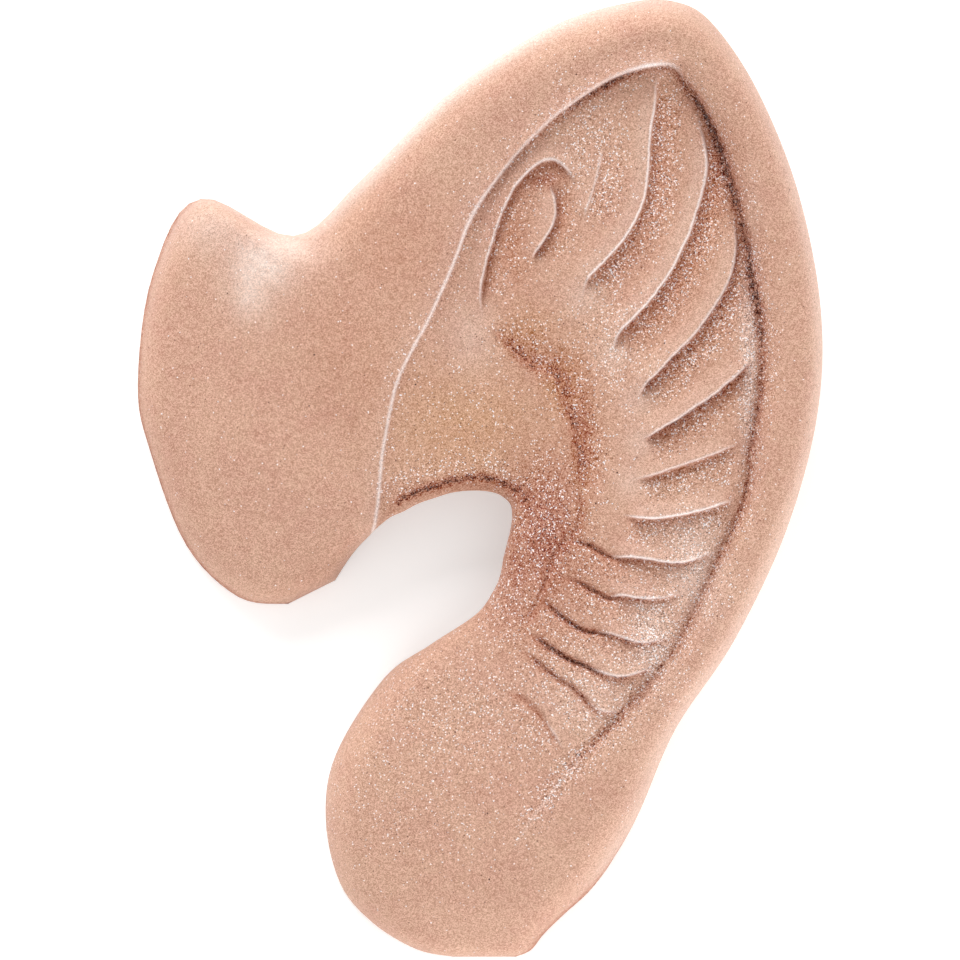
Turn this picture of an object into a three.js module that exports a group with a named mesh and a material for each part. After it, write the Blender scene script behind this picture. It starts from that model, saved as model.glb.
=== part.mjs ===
// Elf ear tip for the left ear: one hollow casting of thin latex, open at its back.
// Millimetres. The ear lies on its open back: +Z is up out of its outer face, +Y points to the
// pointed top and +X to the back of the head. The origin is under the middle of its outline.

import * as THREE from 'three';

// Overall size of the ear as it lies.
const EAR_LENGTH = 105.5;
const EAR_WIDTH = 75.4;
const EAR_DEPTH = 20.8;

// Latex wall, and what is left of it at the rounded edge of the ear canal's notch.
const WALL = 1.8;
const NOTCH_EDGE = 0.8;

// Lip of the helix roll, and how soon it reaches its height where the lip is crisp.
const LIP_RISE = 2.4;
const LIP_SOFTNESS = 0.5;

// Groove under the lip of the helix roll.
const LIP_GROOVE = 0.6;
const LIP_GROOVE_WIDTH = 1.2;

// Folds: each rises to a lip, drops behind it and recovers, or is cut in as a groove.
const FOLD_RISE = 0.85;
const FOLD_DROP = 0.8;
const FOLD_REACH = 3.0;
const FOLD_SHARPNESS = 0.45;
const FOLD_GROOVE_WIDTH = 0.8;

// Length at each end of a fold's way over which it fades out, and over which its lip turns into
// its groove, as a share of the way. Its drop recovers over this share of its reach.
const FOLD_FADE = 0.2;
const DROP_REACH = 0.6;

// The hollow side follows the main forms, with the folds softer and this share of their height.
const HOLLOW_FOLD_SHARPNESS = 1.2;
const HOLLOW_FOLD_SHARE = 0.5;

// Back wall: its curve inwards from the widest line to the resting edge.
const BACK_CURVE = 1.6;

// Sections over which the shell rounds down to its resting edge at its two ends.
const FLAP_END_ROUND = 1;
const LOBE_END_ROUND = 2;

// Sections by which the hollow stops short of the two ends, and over which it comes into step
// with the outer side.
const FLAP_END_SOLID = 0.6;
const LOBE_END_SOLID = 1.4;
const FLAP_END_BLEND = 2;
const LOBE_END_BLEND = 4;

// Height of the notch's edge, in walls, from which the hollow stops a wall short of it, and at
// which it does so fully. Below that the hollow runs out to the edge.
const STANDING_FROM = 0.8;
const STANDING_FULL = 1.4;

// Least radius of the hollow's round ends, in walls.
const LEAST_HOLLOW_ROUND = 0.2;

// Mesh of each skin: steps across a section in its stretches, steps of a way between its points,
// the stretch behind the lip in softnesses, and the least share of a section for a stretch.
const OUTER_STEPS = { innerRound: 3, floor: 11, lip: 1, band: 5, outerRound: 4, back: 3 };
const HOLLOW_STEPS = { innerRound: 2, floor: 6, lip: 1, band: 3, outerRound: 3, back: 2 };
const WAY_STEPS = 6;
const LIP_STRETCH = 2;
const LEAST_STRETCH = 0.05;

// Sections of the shell, fanned round the notch from the foot of the flap over the point to the
// foot of the lobe. x as a share of EAR_WIDTH and y of EAR_LENGTH, from the middle of the
// outline. The last column is the count of stations up to the next section.
const SECTION_COLUMNS = ['section', 'innerX', 'innerY', 'outerX', 'outerY', 'stations'];
const SECTIONS = [
  [0, -0.212, -0.105, -0.279, -0.129, 5],
  [1, -0.195, -0.086, -0.351, -0.122, 3],
  [2, -0.179, -0.071, -0.427, -0.069, 3],
  [3, -0.164, -0.060, -0.480, 0.028, 3],
  [4, -0.150, -0.050, -0.499, 0.099, 4],
  [5, -0.131, -0.039, -0.477, 0.215, 5],
  [6, -0.112, -0.033, -0.409, 0.294, 4],
  [7, -0.091, -0.025, -0.272, 0.255, 3],
  [8, -0.067, -0.019, -0.173, 0.313, 4],
  [9, -0.039, -0.013, -0.041, 0.405, 5],
  [10, -0.007, -0.011, 0.100, 0.470, 6],
  [11, 0.019, -0.013, 0.217, 0.496, 5],
  [12, 0.034, -0.018, 0.287, 0.496, 5],
  [13, 0.045, -0.027, 0.339, 0.473, 6],
  [14, 0.046, -0.044, 0.404, 0.404, 6],
  [15, 0.040, -0.064, 0.463, 0.299, 6],
  [16, 0.034, -0.081, 0.496, 0.177, 7],
  [17, 0.029, -0.100, 0.491, 0.067, 8],
  [18, 0.019, -0.116, 0.446, -0.053, 8],
  [19, -0.006, -0.140, 0.370, -0.168, 6],
  [20, -0.073, -0.172, 0.286, -0.259, 5],
  [21, -0.140, -0.207, 0.233, -0.347, 4],
  [22, -0.211, -0.287, 0.198, -0.393, 3],
  [23, -0.226, -0.355, 0.160, -0.428, 3],
  [24, -0.205, -0.422, 0.121, -0.454, 3],
  [25, -0.158, -0.463, 0.091, -0.475, 3],
  [26, -0.094, -0.491, 0.072, -0.492, 3],
  [27, -0.040, -0.499, 0.050, -0.499, 0],
];

// Heights at the sections, and the curves at their ends, as shares of EAR_DEPTH: foot and top of
// the inner edge, middle of the floor, floor at the helix lip, middle of the band beyond it,
// shoulder of the outer edge, widest line, resting edge inside the widest line, and the radii of
// the inner and the outer edge.
const HEIGHT_COLUMNS = ['section', 'foot', 'edge', 'floor', 'line', 'band', 'shoulder', 'wide',
  'inset', 'innerRound', 'outerRound'];
const HEIGHTS = [
  [0, 0.00, 0.04, 0.04, 0.04, 0.18, 0.14, 0.04, -0.01, 0.11, 0.11],
  [1, 0.07, 0.13, 0.13, 0.13, 0.27, 0.18, 0.04, -0.01, 0.11, 0.14],
  [2, 0.15, 0.23, 0.23, 0.23, 0.35, 0.21, 0.04, -0.01, 0.10, 0.14],
  [3, 0.25, 0.32, 0.32, 0.32, 0.41, 0.22, 0.04, -0.01, 0.08, 0.15],
  [4, 0.32, 0.38, 0.38, 0.38, 0.44, 0.24, 0.04, -0.01, 0.07, 0.16],
  [5, 0.33, 0.38, 0.39, 0.40, 0.47, 0.28, 0.04, -0.01, 0.07, 0.17],
  [6, 0.33, 0.38, 0.40, 0.44, 0.54, 0.37, 0.07, 0.00, 0.07, 0.20],
  [7, 0.33, 0.38, 0.42, 0.50, 0.63, 0.54, 0.17, 0.12, 0.07, 0.24],
  [8, 0.33, 0.39, 0.46, 0.56, 0.71, 0.67, 0.36, 0.26, 0.07, 0.28],
  [9, 0.33, 0.39, 0.50, 0.62, 0.78, 0.76, 0.47, 0.38, 0.07, 0.30],
  [10, 0.33, 0.39, 0.57, 0.68, 0.85, 0.83, 0.53, 0.42, 0.07, 0.30],
  [11, 0.33, 0.39, 0.63, 0.75, 0.97, 0.93, 0.58, 0.47, 0.07, 0.28],
  [12, 0.33, 0.39, 0.66, 0.77, 1.02, 0.98, 0.60, 0.47, 0.07, 0.24],
  [13, 0.33, 0.40, 0.66, 0.73, 0.98, 0.95, 0.59, 0.47, 0.07, 0.22],
  [14, 0.33, 0.40, 0.66, 0.68, 0.85, 0.86, 0.54, 0.45, 0.07, 0.18],
  [15, 0.34, 0.40, 0.66, 0.65, 0.77, 0.79, 0.50, 0.42, 0.07, 0.17],
  [16, 0.34, 0.41, 0.66, 0.63, 0.73, 0.75, 0.47, 0.41, 0.07, 0.17],
  [17, 0.34, 0.41, 0.65, 0.61, 0.70, 0.72, 0.43, 0.38, 0.07, 0.17],
  [18, 0.34, 0.41, 0.63, 0.59, 0.67, 0.68, 0.40, 0.32, 0.07, 0.17],
  [19, 0.33, 0.40, 0.60, 0.57, 0.64, 0.65, 0.35, 0.23, 0.07, 0.17],
  [20, 0.22, 0.39, 0.57, 0.54, 0.60, 0.60, 0.26, 0.12, 0.11, 0.18],
  [21, 0.05, 0.39, 0.52, 0.52, 0.55, 0.52, 0.14, 0.03, 0.16, 0.18],
  [22, 0.00, 0.36, 0.49, 0.49, 0.47, 0.40, 0.05, 0.00, 0.18, 0.18],
  [23, 0.00, 0.33, 0.43, 0.43, 0.41, 0.33, 0.04, -0.01, 0.18, 0.17],
  [24, 0.00, 0.28, 0.38, 0.38, 0.35, 0.27, 0.04, -0.01, 0.18, 0.15],
  [25, 0.00, 0.24, 0.30, 0.30, 0.28, 0.23, 0.04, -0.01, 0.16, 0.14],
  [26, 0.00, 0.20, 0.24, 0.24, 0.23, 0.18, 0.04, -0.01, 0.14, 0.13],
  [27, 0.00, 0.16, 0.18, 0.18, 0.17, 0.15, 0.04, -0.01, 0.11, 0.11],
];

// Inner edge of the helix roll, from below the notch's left corner over the point to the lobe,
// with shares of LIP_RISE, LIP_SOFTNESS and LIP_GROOVE.
const LINE_COLUMNS = ['x', 'y', 'rise', 'softness', 'groove'];
const HELIX_LINE = [
  [-0.211, -0.152, 0.4, 1.0, 0.0],
  [-0.153, -0.053, 0.4, 1.0, 0.0],
  [-0.138, 0.031, 0.4, 1.0, 0.0],
  [-0.116, 0.104, 0.4, 1.0, 0.0],
  [-0.072, 0.166, 0.4, 1.0, 0.0],
  [-0.036, 0.224, 0.5, 1.0, 0.1],
  [-0.009, 0.273, 0.5, 1.0, 0.2],
  [0.031, 0.315, 0.5, 1.0, 0.2],
  [0.065, 0.345, 0.5, 1.0, 0.3],
  [0.120, 0.381, 0.5, 1.0, 0.3],
  [0.199, 0.417, 0.6, 1.0, 0.6],
  [0.245, 0.427, 0.6, 1.2, 0.6],
  [0.278, 0.427, 0.6, 1.8, 0.8],
  [0.296, 0.413, 0.5, 2.4, 1.0],
  [0.329, 0.376, 0.5, 3.0, 1.4],
  [0.363, 0.310, 0.5, 3.6, 1.4],
  [0.382, 0.257, 0.5, 4.0, 1.4],
  [0.396, 0.204, 0.5, 4.0, 1.4],
  [0.408, 0.156, 0.5, 4.0, 1.4],
  [0.409, 0.099, 0.5, 4.0, 1.4],
  [0.395, 0.035, 0.5, 4.0, 1.3],
  [0.386, -0.018, 0.5, 4.0, 1.2],
  [0.348, -0.079, 0.5, 4.0, 1.2],
  [0.293, -0.164, 0.4, 4.0, 1.2],
  [0.259, -0.200, 0.4, 4.0, 1.1],
  [0.179, -0.264, 0.2, 4.0, 0.8],
  [0.106, -0.320, 0.0, 4.0, 0.3],
  [0.040, -0.395, 0.0, 4.0, 0.0],
  [0.004, -0.520, 0.0, 4.0, 0.0],
];

// Folds, with shares of FOLD_RISE, of FOLD_DROP for drop and groove, of FOLD_REACH, and of the
// sharpness and groove width for soft. The drop is on the left of the way from a fold's first
// point to its last, and turn is the share of that way after which the lip is only a groove.
const FOLDS = [
  { name: 'concha groove', rise: 0.5, drop: 1.3, groove: 0.0, reach: 1.0, soft: 1.5, turn: 1,
    way: [[0.008, 0.168], [0.040, 0.144], [0.075, 0.121], [0.112, 0.110], [0.126, 0.084],
      [0.141, 0.045], [0.145, 0.006], [0.142, -0.030]] },
  { name: 'spiral', rise: 0.9, drop: 0.9, groove: 0.0, reach: 0.6, soft: 1.0, turn: 1,
    way: [[0.139, 0.304], [0.125, 0.323], [0.101, 0.332], [0.061, 0.313], [0.030, 0.272],
      [0.009, 0.222], [0.002, 0.196], [0.006, 0.168]] },
  { name: 'curl in the spiral', rise: 0.8, drop: 0.9, groove: 0.0, reach: 0.7, soft: 1.0, turn: 1,
    way: [[0.101, 0.309], [0.109, 0.294], [0.110, 0.276], [0.104, 0.261], [0.093, 0.248],
      [0.082, 0.237], [0.077, 0.227]] },
  { name: 'faint fold by the spiral', rise: 0.5, drop: 0.3, groove: 0.0, reach: 0.8, soft: 1.0,
    turn: 1, way: [[0.179, 0.345], [0.172, 0.318], [0.163, 0.296], [0.151, 0.270]] },
  { name: 'fold 1', rise: 1.0, drop: 0.8, groove: 0.0, reach: 1.1, soft: 1.0, turn: 1,
    way: [[0.258, 0.430], [0.255, 0.393], [0.249, 0.364], [0.243, 0.309], [0.236, 0.285],
      [0.212, 0.252], [0.174, 0.222], [0.157, 0.208], [0.150, 0.190]] },
  { name: 'fold 2', rise: 1.1, drop: 0.9, groove: 0.0, reach: 1.1, soft: 1.0, turn: 1,
    way: [[0.314, 0.385], [0.328, 0.344], [0.329, 0.321], [0.316, 0.281], [0.288, 0.230],
      [0.252, 0.190], [0.202, 0.151], [0.192, 0.130]] },
  { name: 'fold 3', rise: 1.1, drop: 1.0, groove: 0.0, reach: 1.0, soft: 1.0, turn: 1,
    way: [[0.369, 0.275], [0.372, 0.239], [0.360, 0.204], [0.319, 0.158], [0.264, 0.116],
      [0.242, 0.100], [0.230, 0.084]] },
  { name: 'fold 4', rise: 1.1, drop: 1.1, groove: 0.0, reach: 0.9, soft: 1.0, turn: 1,
    way: [[0.398, 0.126], [0.370, 0.106], [0.316, 0.077], [0.264, 0.053], [0.233, 0.040]] },
  { name: 'fold 5', rise: 0.8, drop: 0.7, groove: 0.0, reach: 0.8, soft: 1.0, turn: 1,
    way: [[0.381, 0.038], [0.323, 0.022], [0.275, 0.010], [0.220, -0.002]] },
  { name: 'fold 6', rise: 1.1, drop: 1.0, groove: 0.0, reach: 0.8, soft: 1.0, turn: 1,
    way: [[0.374, -0.020], [0.316, -0.033], [0.256, -0.040], [0.205, -0.037]] },
  { name: 'fold 7', rise: 0.9, drop: 0.9, groove: 0.8, reach: 0.7, soft: 1.0, turn: 0.52,
    way: [[0.356, -0.071], [0.291, -0.086], [0.228, -0.081], [0.186, -0.079], [0.161, -0.069],
      [0.112, -0.060]] },
  { name: 'fold 8', rise: 0.8, drop: 0.7, groove: 1.0, reach: 0.7, soft: 1.0, turn: 0.5,
    way: [[0.304, -0.117], [0.245, -0.124], [0.205, -0.120], [0.186, -0.122], [0.158, -0.112],
      [0.107, -0.097]] },
  { name: 'fold 9', rise: 0.7, drop: 0.6, groove: 1.1, reach: 0.6, soft: 1.0, turn: 0.45,
    way: [[0.284, -0.163], [0.237, -0.169], [0.191, -0.160], [0.154, -0.157], [0.110, -0.137],
      [0.086, -0.120]] },
  { name: 'fold 10', rise: 0.6, drop: 0.6, groove: 1.2, reach: 0.6, soft: 1.0, turn: 0.4,
    way: [[0.262, -0.194], [0.202, -0.204], [0.148, -0.192], [0.116, -0.181],
      [0.058, -0.152]] },
  { name: 'fold 11', rise: 0.5, drop: 0.4, groove: 0.8, reach: 0.6, soft: 1.0, turn: 0.3,
    way: [[0.210, -0.240], [0.174, -0.240], [0.132, -0.215], [0.104, -0.202],
      [0.052, -0.172]] },
  { name: 'faint fold on the lobe', rise: 0.3, drop: 0.2, groove: 0.4, reach: 0.6, soft: 1.0,
    turn: 0.3, way: [[0.124, -0.284], [0.094, -0.251], [0.075, -0.235], [0.036, -0.216]] },
];

const latex = new THREE.MeshStandardMaterial({ color: 0xd8a890, roughness: 0.75, metalness: 0 });
latex.name = 'latex';

const clamp = (value) => Math.min(Math.max(value, 0), 1);
const mix = (from, to, share) => from + (to - from) * share;
const ease = (share) => clamp(share) ** 2 * (3 - 2 * clamp(share));

// Height of a quarter circle at a share of its radius from its foot.
const quarter = (share) => Math.sqrt(1 - (1 - clamp(share)) ** 2);

// Curve through three heights at the start, the middle and the end of a stretch.
function throughThree(start, middle, end, share) {
  const rest = 1 - share;
  return start * rest * (1 - 2 * share) + middle * 4 * share * rest - end * share * (1 - 2 * share);
}

// Smooth values of a table's named columns at a place counted in rows.
function smoothRow(table, columns, at) {
  const last = table.length - 1;
  const row = Math.min(Math.floor(at), last - 1);
  const part = at - row;
  const lift = part * part * (3 - 2 * part);
  const values = {};
  columns.forEach((name, column) => {
    const value = (index) => table[Math.min(Math.max(index, 0), last)][column];
    const slope = (index) => (value(index + 1) - value(index - 1)) / 2;
    values[name] = mix(value(row), value(row + 1), lift)
      + slope(row) * part * (1 - part) ** 2
      - slope(row + 1) * part ** 2 * (1 - part);
  });
  return values;
}

// Smooth way through points given in shares, as short straight steps.
function smoothWay(points) {
  const knots = points.map(([x, y]) => new THREE.Vector3(x * EAR_WIDTH, y * EAR_LENGTH, 0));
  const curve = new THREE.CatmullRomCurve3(knots, false, 'centripetal');
  return curve.getPoints((points.length - 1) * WAY_STEPS);
}

// Nearest place on a way: its distance, which side the point is on and the share of the way.
function nearestPlace(way, x, y) {
  let best = { distance: Infinity, side: 1, share: 0 };
  for (let step = 0; step < way.length - 1; step += 1) {
    const from = way[step];
    const alongX = way[step + 1].x - from.x;
    const alongY = way[step + 1].y - from.y;
    const length = Math.hypot(alongX, alongY);
    const part = clamp(((x - from.x) * alongX + (y - from.y) * alongY) / length ** 2);
    const offX = x - from.x - alongX * part;
    const offY = y - from.y - alongY * part;
    const distance = Math.hypot(offX, offY);
    if (distance < best.distance) {
      const side = alongX * offY - alongY * offX >= 0 ? 1 : -1;
      best = { distance, side, share: (step + part) / (way.length - 1) };
    }
  }
  return best;
}

const helixWay = smoothWay(HELIX_LINE);
const folds = FOLDS.map((fold) => ({ ...fold, steps: smoothWay(fold.way) }));

// Height that one fold adds beside its way, with the sharpness of the skin.
function heightOfFold(fold, near, sharpness) {
  const signed = near.distance * near.side;
  const off = near.distance / (fold.reach * FOLD_REACH);
  const behind = (1 + Math.tanh(signed / (sharpness * fold.soft))) / 2;
  const rise = fold.rise * FOLD_RISE * clamp(1 - off ** 2) ** 2;
  const drop = fold.drop * FOLD_DROP * Math.exp(-off / DROP_REACH);
  const groove = fold.groove * FOLD_DROP
    * Math.exp(-((signed / (FOLD_GROOVE_WIDTH * fold.soft)) ** 2));
  const turned = fold.turn < 1 ? ease((near.share - fold.turn) / FOLD_FADE + 1 / 2) : 0;
  return mix(mix(rise, -drop, behind), -groove, turned);
}

// Height that the folds add to the smooth surface, on its outer or its hollow side.
function foldHeight(x, y, hollow) {
  const sharpness = hollow ? HOLLOW_FOLD_SHARPNESS : FOLD_SHARPNESS;
  let height = 0;
  for (const fold of folds) {
    const near = nearestPlace(fold.steps, x, y);
    const there = ease(near.share / FOLD_FADE) * ease((1 - near.share) / FOLD_FADE);
    height += there * heightOfFold(fold, near, sharpness);
  }
  return hollow ? height * HOLLOW_FOLD_SHARE : height;
}

// Where the section's straight line meets the helix line, as a distance from its inner end.
// A crossing ahead of that end counts before any behind it.
function helixCrossing(inner, direction) {
  const nearness = (distance) => (distance >= 0 ? distance : EAR_LENGTH - distance);
  let crossing = null;
  for (let step = 0; step < helixWay.length - 1; step += 1) {
    const from = helixWay[step];
    const along = helixWay[step + 1].clone().sub(from);
    const offset = from.clone().sub(inner);
    const turn = direction.x * along.y - direction.y * along.x;
    const part = (offset.x * direction.y - offset.y * direction.x) / turn;
    const distance = (offset.x * along.y - offset.y * along.x) / turn;
    const nearer = !crossing || nearness(distance) < nearness(crossing.distance);
    if (part >= 0 && part < 1 && nearer) {
      const sine = Math.abs(turn) / along.length();
      crossing = { distance, sine, row: (step + part) / WAY_STEPS };
    }
  }
  return crossing;
}

// Everything that one section of the shell needs, at a place counted in sections.
function sectionAt(at) {
  const plan = smoothRow(SECTIONS, SECTION_COLUMNS, at);
  const inner = new THREE.Vector3(plan.innerX * EAR_WIDTH, plan.innerY * EAR_LENGTH, 0);
  const outer = new THREE.Vector3(plan.outerX * EAR_WIDTH, plan.outerY * EAR_LENGTH, 0);
  const direction = outer.clone().sub(inner);
  const length = direction.length();
  direction.normalize();
  const heights = smoothRow(HEIGHTS, HEIGHT_COLUMNS, at);
  for (const name of HEIGHT_COLUMNS) heights[name] *= EAR_DEPTH;
  heights.foot = Math.max(heights.foot, 0);
  const crossing = helixCrossing(inner, direction);
  const line = smoothRow(HELIX_LINE, LINE_COLUMNS, crossing.row);
  return {
    inner, direction, length, ...heights,
    lip: crossing.distance,
    lipSine: crossing.sine,
    rise: line.rise * LIP_RISE,
    softness: line.softness * LIP_SOFTNESS,
    groove: line.groove * LIP_GROOVE,
  };
}

// Height of the surface at a distance from the section's inner end, before its ends round down.
// The hollow side's lip and groove are half a wall wider, a wall behind the outer ones.
function topHeight(section, distance, hollow) {
  const { inner, direction, length, lip, lipSine, rise, groove } = section;
  const behind = hollow ? WALL : 0;
  const wider = behind / 2;
  const beyond = (distance - lip) * lipSine;
  let height;
  if (distance < lip) {
    height = throughThree(section.edge, section.floor, section.line, distance / lip);
  } else {
    const share = (distance - lip) / (length - lip);
    height = throughThree(section.line + rise, section.band, section.shoulder, share)
      - rise * Math.exp(-Math.max(beyond - behind, 0) / (section.softness + wider));
  }
  height -= groove * Math.exp(-((beyond / (LIP_GROOVE_WIDTH + wider)) ** 2));
  const x = inner.x + direction.x * distance;
  const y = inner.y + direction.y * distance;
  return height + foldHeight(x, y, hollow);
}

// Distances across a section, close together in its round ends and at the helix lip.
function spreadAcross(steps, length, innerRound, lip, outerRound) {
  const free = length - innerRound - outerRound;
  const least = LEAST_STRETCH * free;
  const lipStart = Math.min(Math.max(lip, innerRound + least), length - outerRound - least);
  const lipEnd = lipStart + Math.min(LIP_STRETCH * LIP_SOFTNESS, least);
  const distances = [];
  for (let step = 0; step < steps.innerRound; step += 1) {
    distances.push(innerRound * (1 - Math.cos((Math.PI / 2) * (step / steps.innerRound))));
  }
  for (let step = 0; step < steps.floor; step += 1) {
    distances.push(mix(innerRound, lipStart, step / steps.floor));
  }
  for (let step = 0; step < steps.lip; step += 1) {
    distances.push(mix(lipStart, lipEnd, step / steps.lip));
  }
  for (let step = 0; step < steps.band; step += 1) {
    distances.push(mix(lipEnd, length - outerRound, step / steps.band));
  }
  for (let step = 0; step <= steps.outerRound; step += 1) {
    distances.push(length - outerRound * (1 - Math.sin((Math.PI / 2) * (step / steps.outerRound))));
  }
  return distances;
}

const LAST = SECTIONS.length - 1;

// Share of its height that a skin keeps near its two ends, from its first to its last place.
function endShare(at, first, last) {
  const flap = quarter((at - first) / (FLAP_END_ROUND - first));
  const lobe = quarter((last - at) / (last - (LAST - LOBE_END_ROUND)));
  return flap * lobe;
}

// Points of the back wall, from the widest line down to the resting edge.
function backWall(steps, section, distance, wide, points) {
  for (let step = 1; step <= steps.back; step += 1) {
    const share = step / steps.back;
    const place = section.inner.clone()
      .addScaledVector(section.direction, distance - section.inset * share ** BACK_CURVE);
    points.push(place.setZ(wide * (1 - share)));
  }
}

function outerRow(at) {
  const section = sectionAt(at);
  const { inner, direction, length, foot, wide, innerRound, outerRound, lip } = section;
  const keep = endShare(at, 0, LAST);
  const spread = spreadAcross(OUTER_STEPS, length, innerRound, lip, outerRound);
  const points = spread.map((distance) => {
    const top = topHeight(section, distance, false);
    const inside = foot + (top - foot) * quarter(distance / innerRound);
    const outside = wide + (top - wide) * quarter((length - distance) / outerRound);
    const height = distance > length / 2 ? outside : inside;
    return inner.clone().addScaledVector(direction, distance).setZ(height * keep);
  });
  backWall(OUTER_STEPS, section, length, wide * keep, points);
  return points;
}

function hollowRow(at) {
  const section = sectionAt(at);
  const { inner, direction, length, foot, wide, lip } = section;
  const keep = endShare(at, FLAP_END_SOLID, LAST - LOBE_END_SOLID);
  const edgeRise = topHeight(section, 0, true) - foot;
  const standing = clamp((edgeRise / WALL - STANDING_FROM) / (STANDING_FULL - STANDING_FROM));
  const start = WALL * standing;
  const end = length - WALL;
  const innerRound = Math.max(section.innerRound - WALL, LEAST_HOLLOW_ROUND * WALL);
  const outerRound = Math.max(section.outerRound - WALL, LEAST_HOLLOW_ROUND * WALL);
  const spread = spreadAcross(HOLLOW_STEPS, end - start, innerRound, lip + WALL - start, outerRound);
  const points = spread.map((along) => {
    const distance = start + along;
    const top = topHeight(section, distance, true) - WALL;
    const edge = mix(Math.min(top, foot - NOTCH_EDGE), foot, standing);
    const inside = edge + (top - edge) * quarter(along / innerRound);
    const outside = wide + (top - wide) * quarter((end - distance) / outerRound);
    const height = distance > length / 2 ? outside : inside;
    return inner.clone().addScaledVector(direction, distance).setZ(Math.max(height, 0) * keep);
  });
  backWall(HOLLOW_STEPS, section, end, wide * keep, points);
  return points;
}

// Places of the shell's stations, counted in sections.
function stationPlaces() {
  const places = [];
  SECTIONS.forEach((row, section) => {
    const stations = row.at(-1);
    for (let step = 0; step < stations; step += 1) places.push(section + step / stations);
  });
  places.push(LAST);
  return places;
}

// The hollow side's place that belongs to a station of the outer side.
function hollowPlace(at) {
  const fromFlap = FLAP_END_SOLID * Math.max(1 - at / FLAP_END_BLEND, 0) ** 2;
  const fromLobe = LOBE_END_SOLID * Math.max(1 - (LAST - at) / LOBE_END_BLEND, 0) ** 2;
  return at + fromFlap - fromLobe;
}

// Closed body from the rows of its outer skin and its hollow skin, joined round their edges.
function shellGeometry(outerRows, hollowRows) {
  const rows = outerRows.length;
  const outerLast = outerRows[0].length - 1;
  const hollowLast = hollowRows[0].length - 1;
  const points = [...outerRows.flat(), ...hollowRows.flat()];
  const triangles = [];
  const outer = (row, column) => row * (outerLast + 1) + column;
  const hollow = (row, column) => rows * (outerLast + 1) + row * (hollowLast + 1) + column;
  const face = (...corners) => {
    for (let corner = 2; corner < corners.length; corner += 1) {
      triangles.push(corners[0], corners[corner], corners[corner - 1]);
    }
  };

  // The two skins, row by row, and the edges along the shell.
  for (let row = 0; row < rows - 1; row += 1) {
    const next = row + 1;
    for (let column = 0; column < outerLast; column += 1) {
      face(outer(row, column), outer(row, column + 1), outer(next, column + 1), outer(next, column));
    }
    for (let column = 0; column < hollowLast; column += 1) {
      face(hollow(row, column), hollow(next, column), hollow(next, column + 1),
        hollow(row, column + 1));
    }
    face(outer(row, 0), outer(next, 0), hollow(next, 0), hollow(row, 0));
    face(outer(row, outerLast), hollow(row, hollowLast), hollow(next, hollowLast),
      outer(next, outerLast));
  }

  // The edges at the foot of the flap and at the foot of the lobe.
  const partner = (column) => Math.round((column * hollowLast) / outerLast);
  for (const [row, turned] of [[0, false], [rows - 1, true]]) {
    for (let column = 0; column < outerLast; column += 1) {
      const edge = [outer(row, column), hollow(row, partner(column))];
      if (partner(column + 1) > partner(column)) edge.push(hollow(row, partner(column + 1)));
      edge.push(outer(row, column + 1));
      face(...(turned ? edge.reverse() : edge));
    }
  }
  const geometry = new THREE.BufferGeometry().setFromPoints(points);
  geometry.setIndex(triangles);
  geometry.computeVertexNormals();
  return geometry;
}

const places = stationPlaces();
const outerRows = places.map((at) => outerRow(at));
const hollowRows = places.map((at) => hollowRow(hollowPlace(at)));
const ear = new THREE.Mesh(shellGeometry(outerRows, hollowRows), latex);
ear.name = 'ear_shell';

const group = new THREE.Group();
group.add(ear);
export default group;
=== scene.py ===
# Elf ear tip for the left ear: a hollow casting of thin matte latex, lying on its open back and
# seen from straight above. Metres, in the part's own frame.

import math

import bmesh
import bpy
import numpy as np
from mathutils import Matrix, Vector, noise


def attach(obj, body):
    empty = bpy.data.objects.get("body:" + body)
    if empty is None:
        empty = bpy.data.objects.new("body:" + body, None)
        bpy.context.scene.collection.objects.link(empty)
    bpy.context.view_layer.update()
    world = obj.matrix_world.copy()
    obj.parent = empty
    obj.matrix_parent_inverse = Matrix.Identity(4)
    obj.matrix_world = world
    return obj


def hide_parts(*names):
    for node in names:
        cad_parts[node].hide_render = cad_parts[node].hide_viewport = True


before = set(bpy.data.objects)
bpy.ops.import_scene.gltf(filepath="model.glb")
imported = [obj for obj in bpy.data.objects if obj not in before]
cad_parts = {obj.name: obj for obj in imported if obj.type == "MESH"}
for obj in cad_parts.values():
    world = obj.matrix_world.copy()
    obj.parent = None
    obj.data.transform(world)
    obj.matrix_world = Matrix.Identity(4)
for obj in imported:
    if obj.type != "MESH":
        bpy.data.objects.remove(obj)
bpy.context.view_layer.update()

# Camera. It looks straight down on the middle of the ear, from far away through a long lens, so
# that the outline shows as it is, with the point at the top.
CAMERA_HEIGHT = 1.5
PICTURE_SIDE = 0.1056
SENSOR_SIDE = 36.0
VIEW_REACH = 10.0
OUTLINE_HEIGHT = 0.006

camera_data = bpy.data.cameras.new("camera")
camera_data.sensor_width = SENSOR_SIDE
camera_data.lens = SENSOR_SIDE * (CAMERA_HEIGHT - OUTLINE_HEIGHT) / PICTURE_SIDE
camera_data.clip_end = VIEW_REACH
camera = bpy.data.objects.new("camera", camera_data)
camera.location = (0.0, 0.0, CAMERA_HEIGHT)
bpy.context.scene.collection.objects.link(camera)
bpy.context.scene.camera = camera

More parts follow.
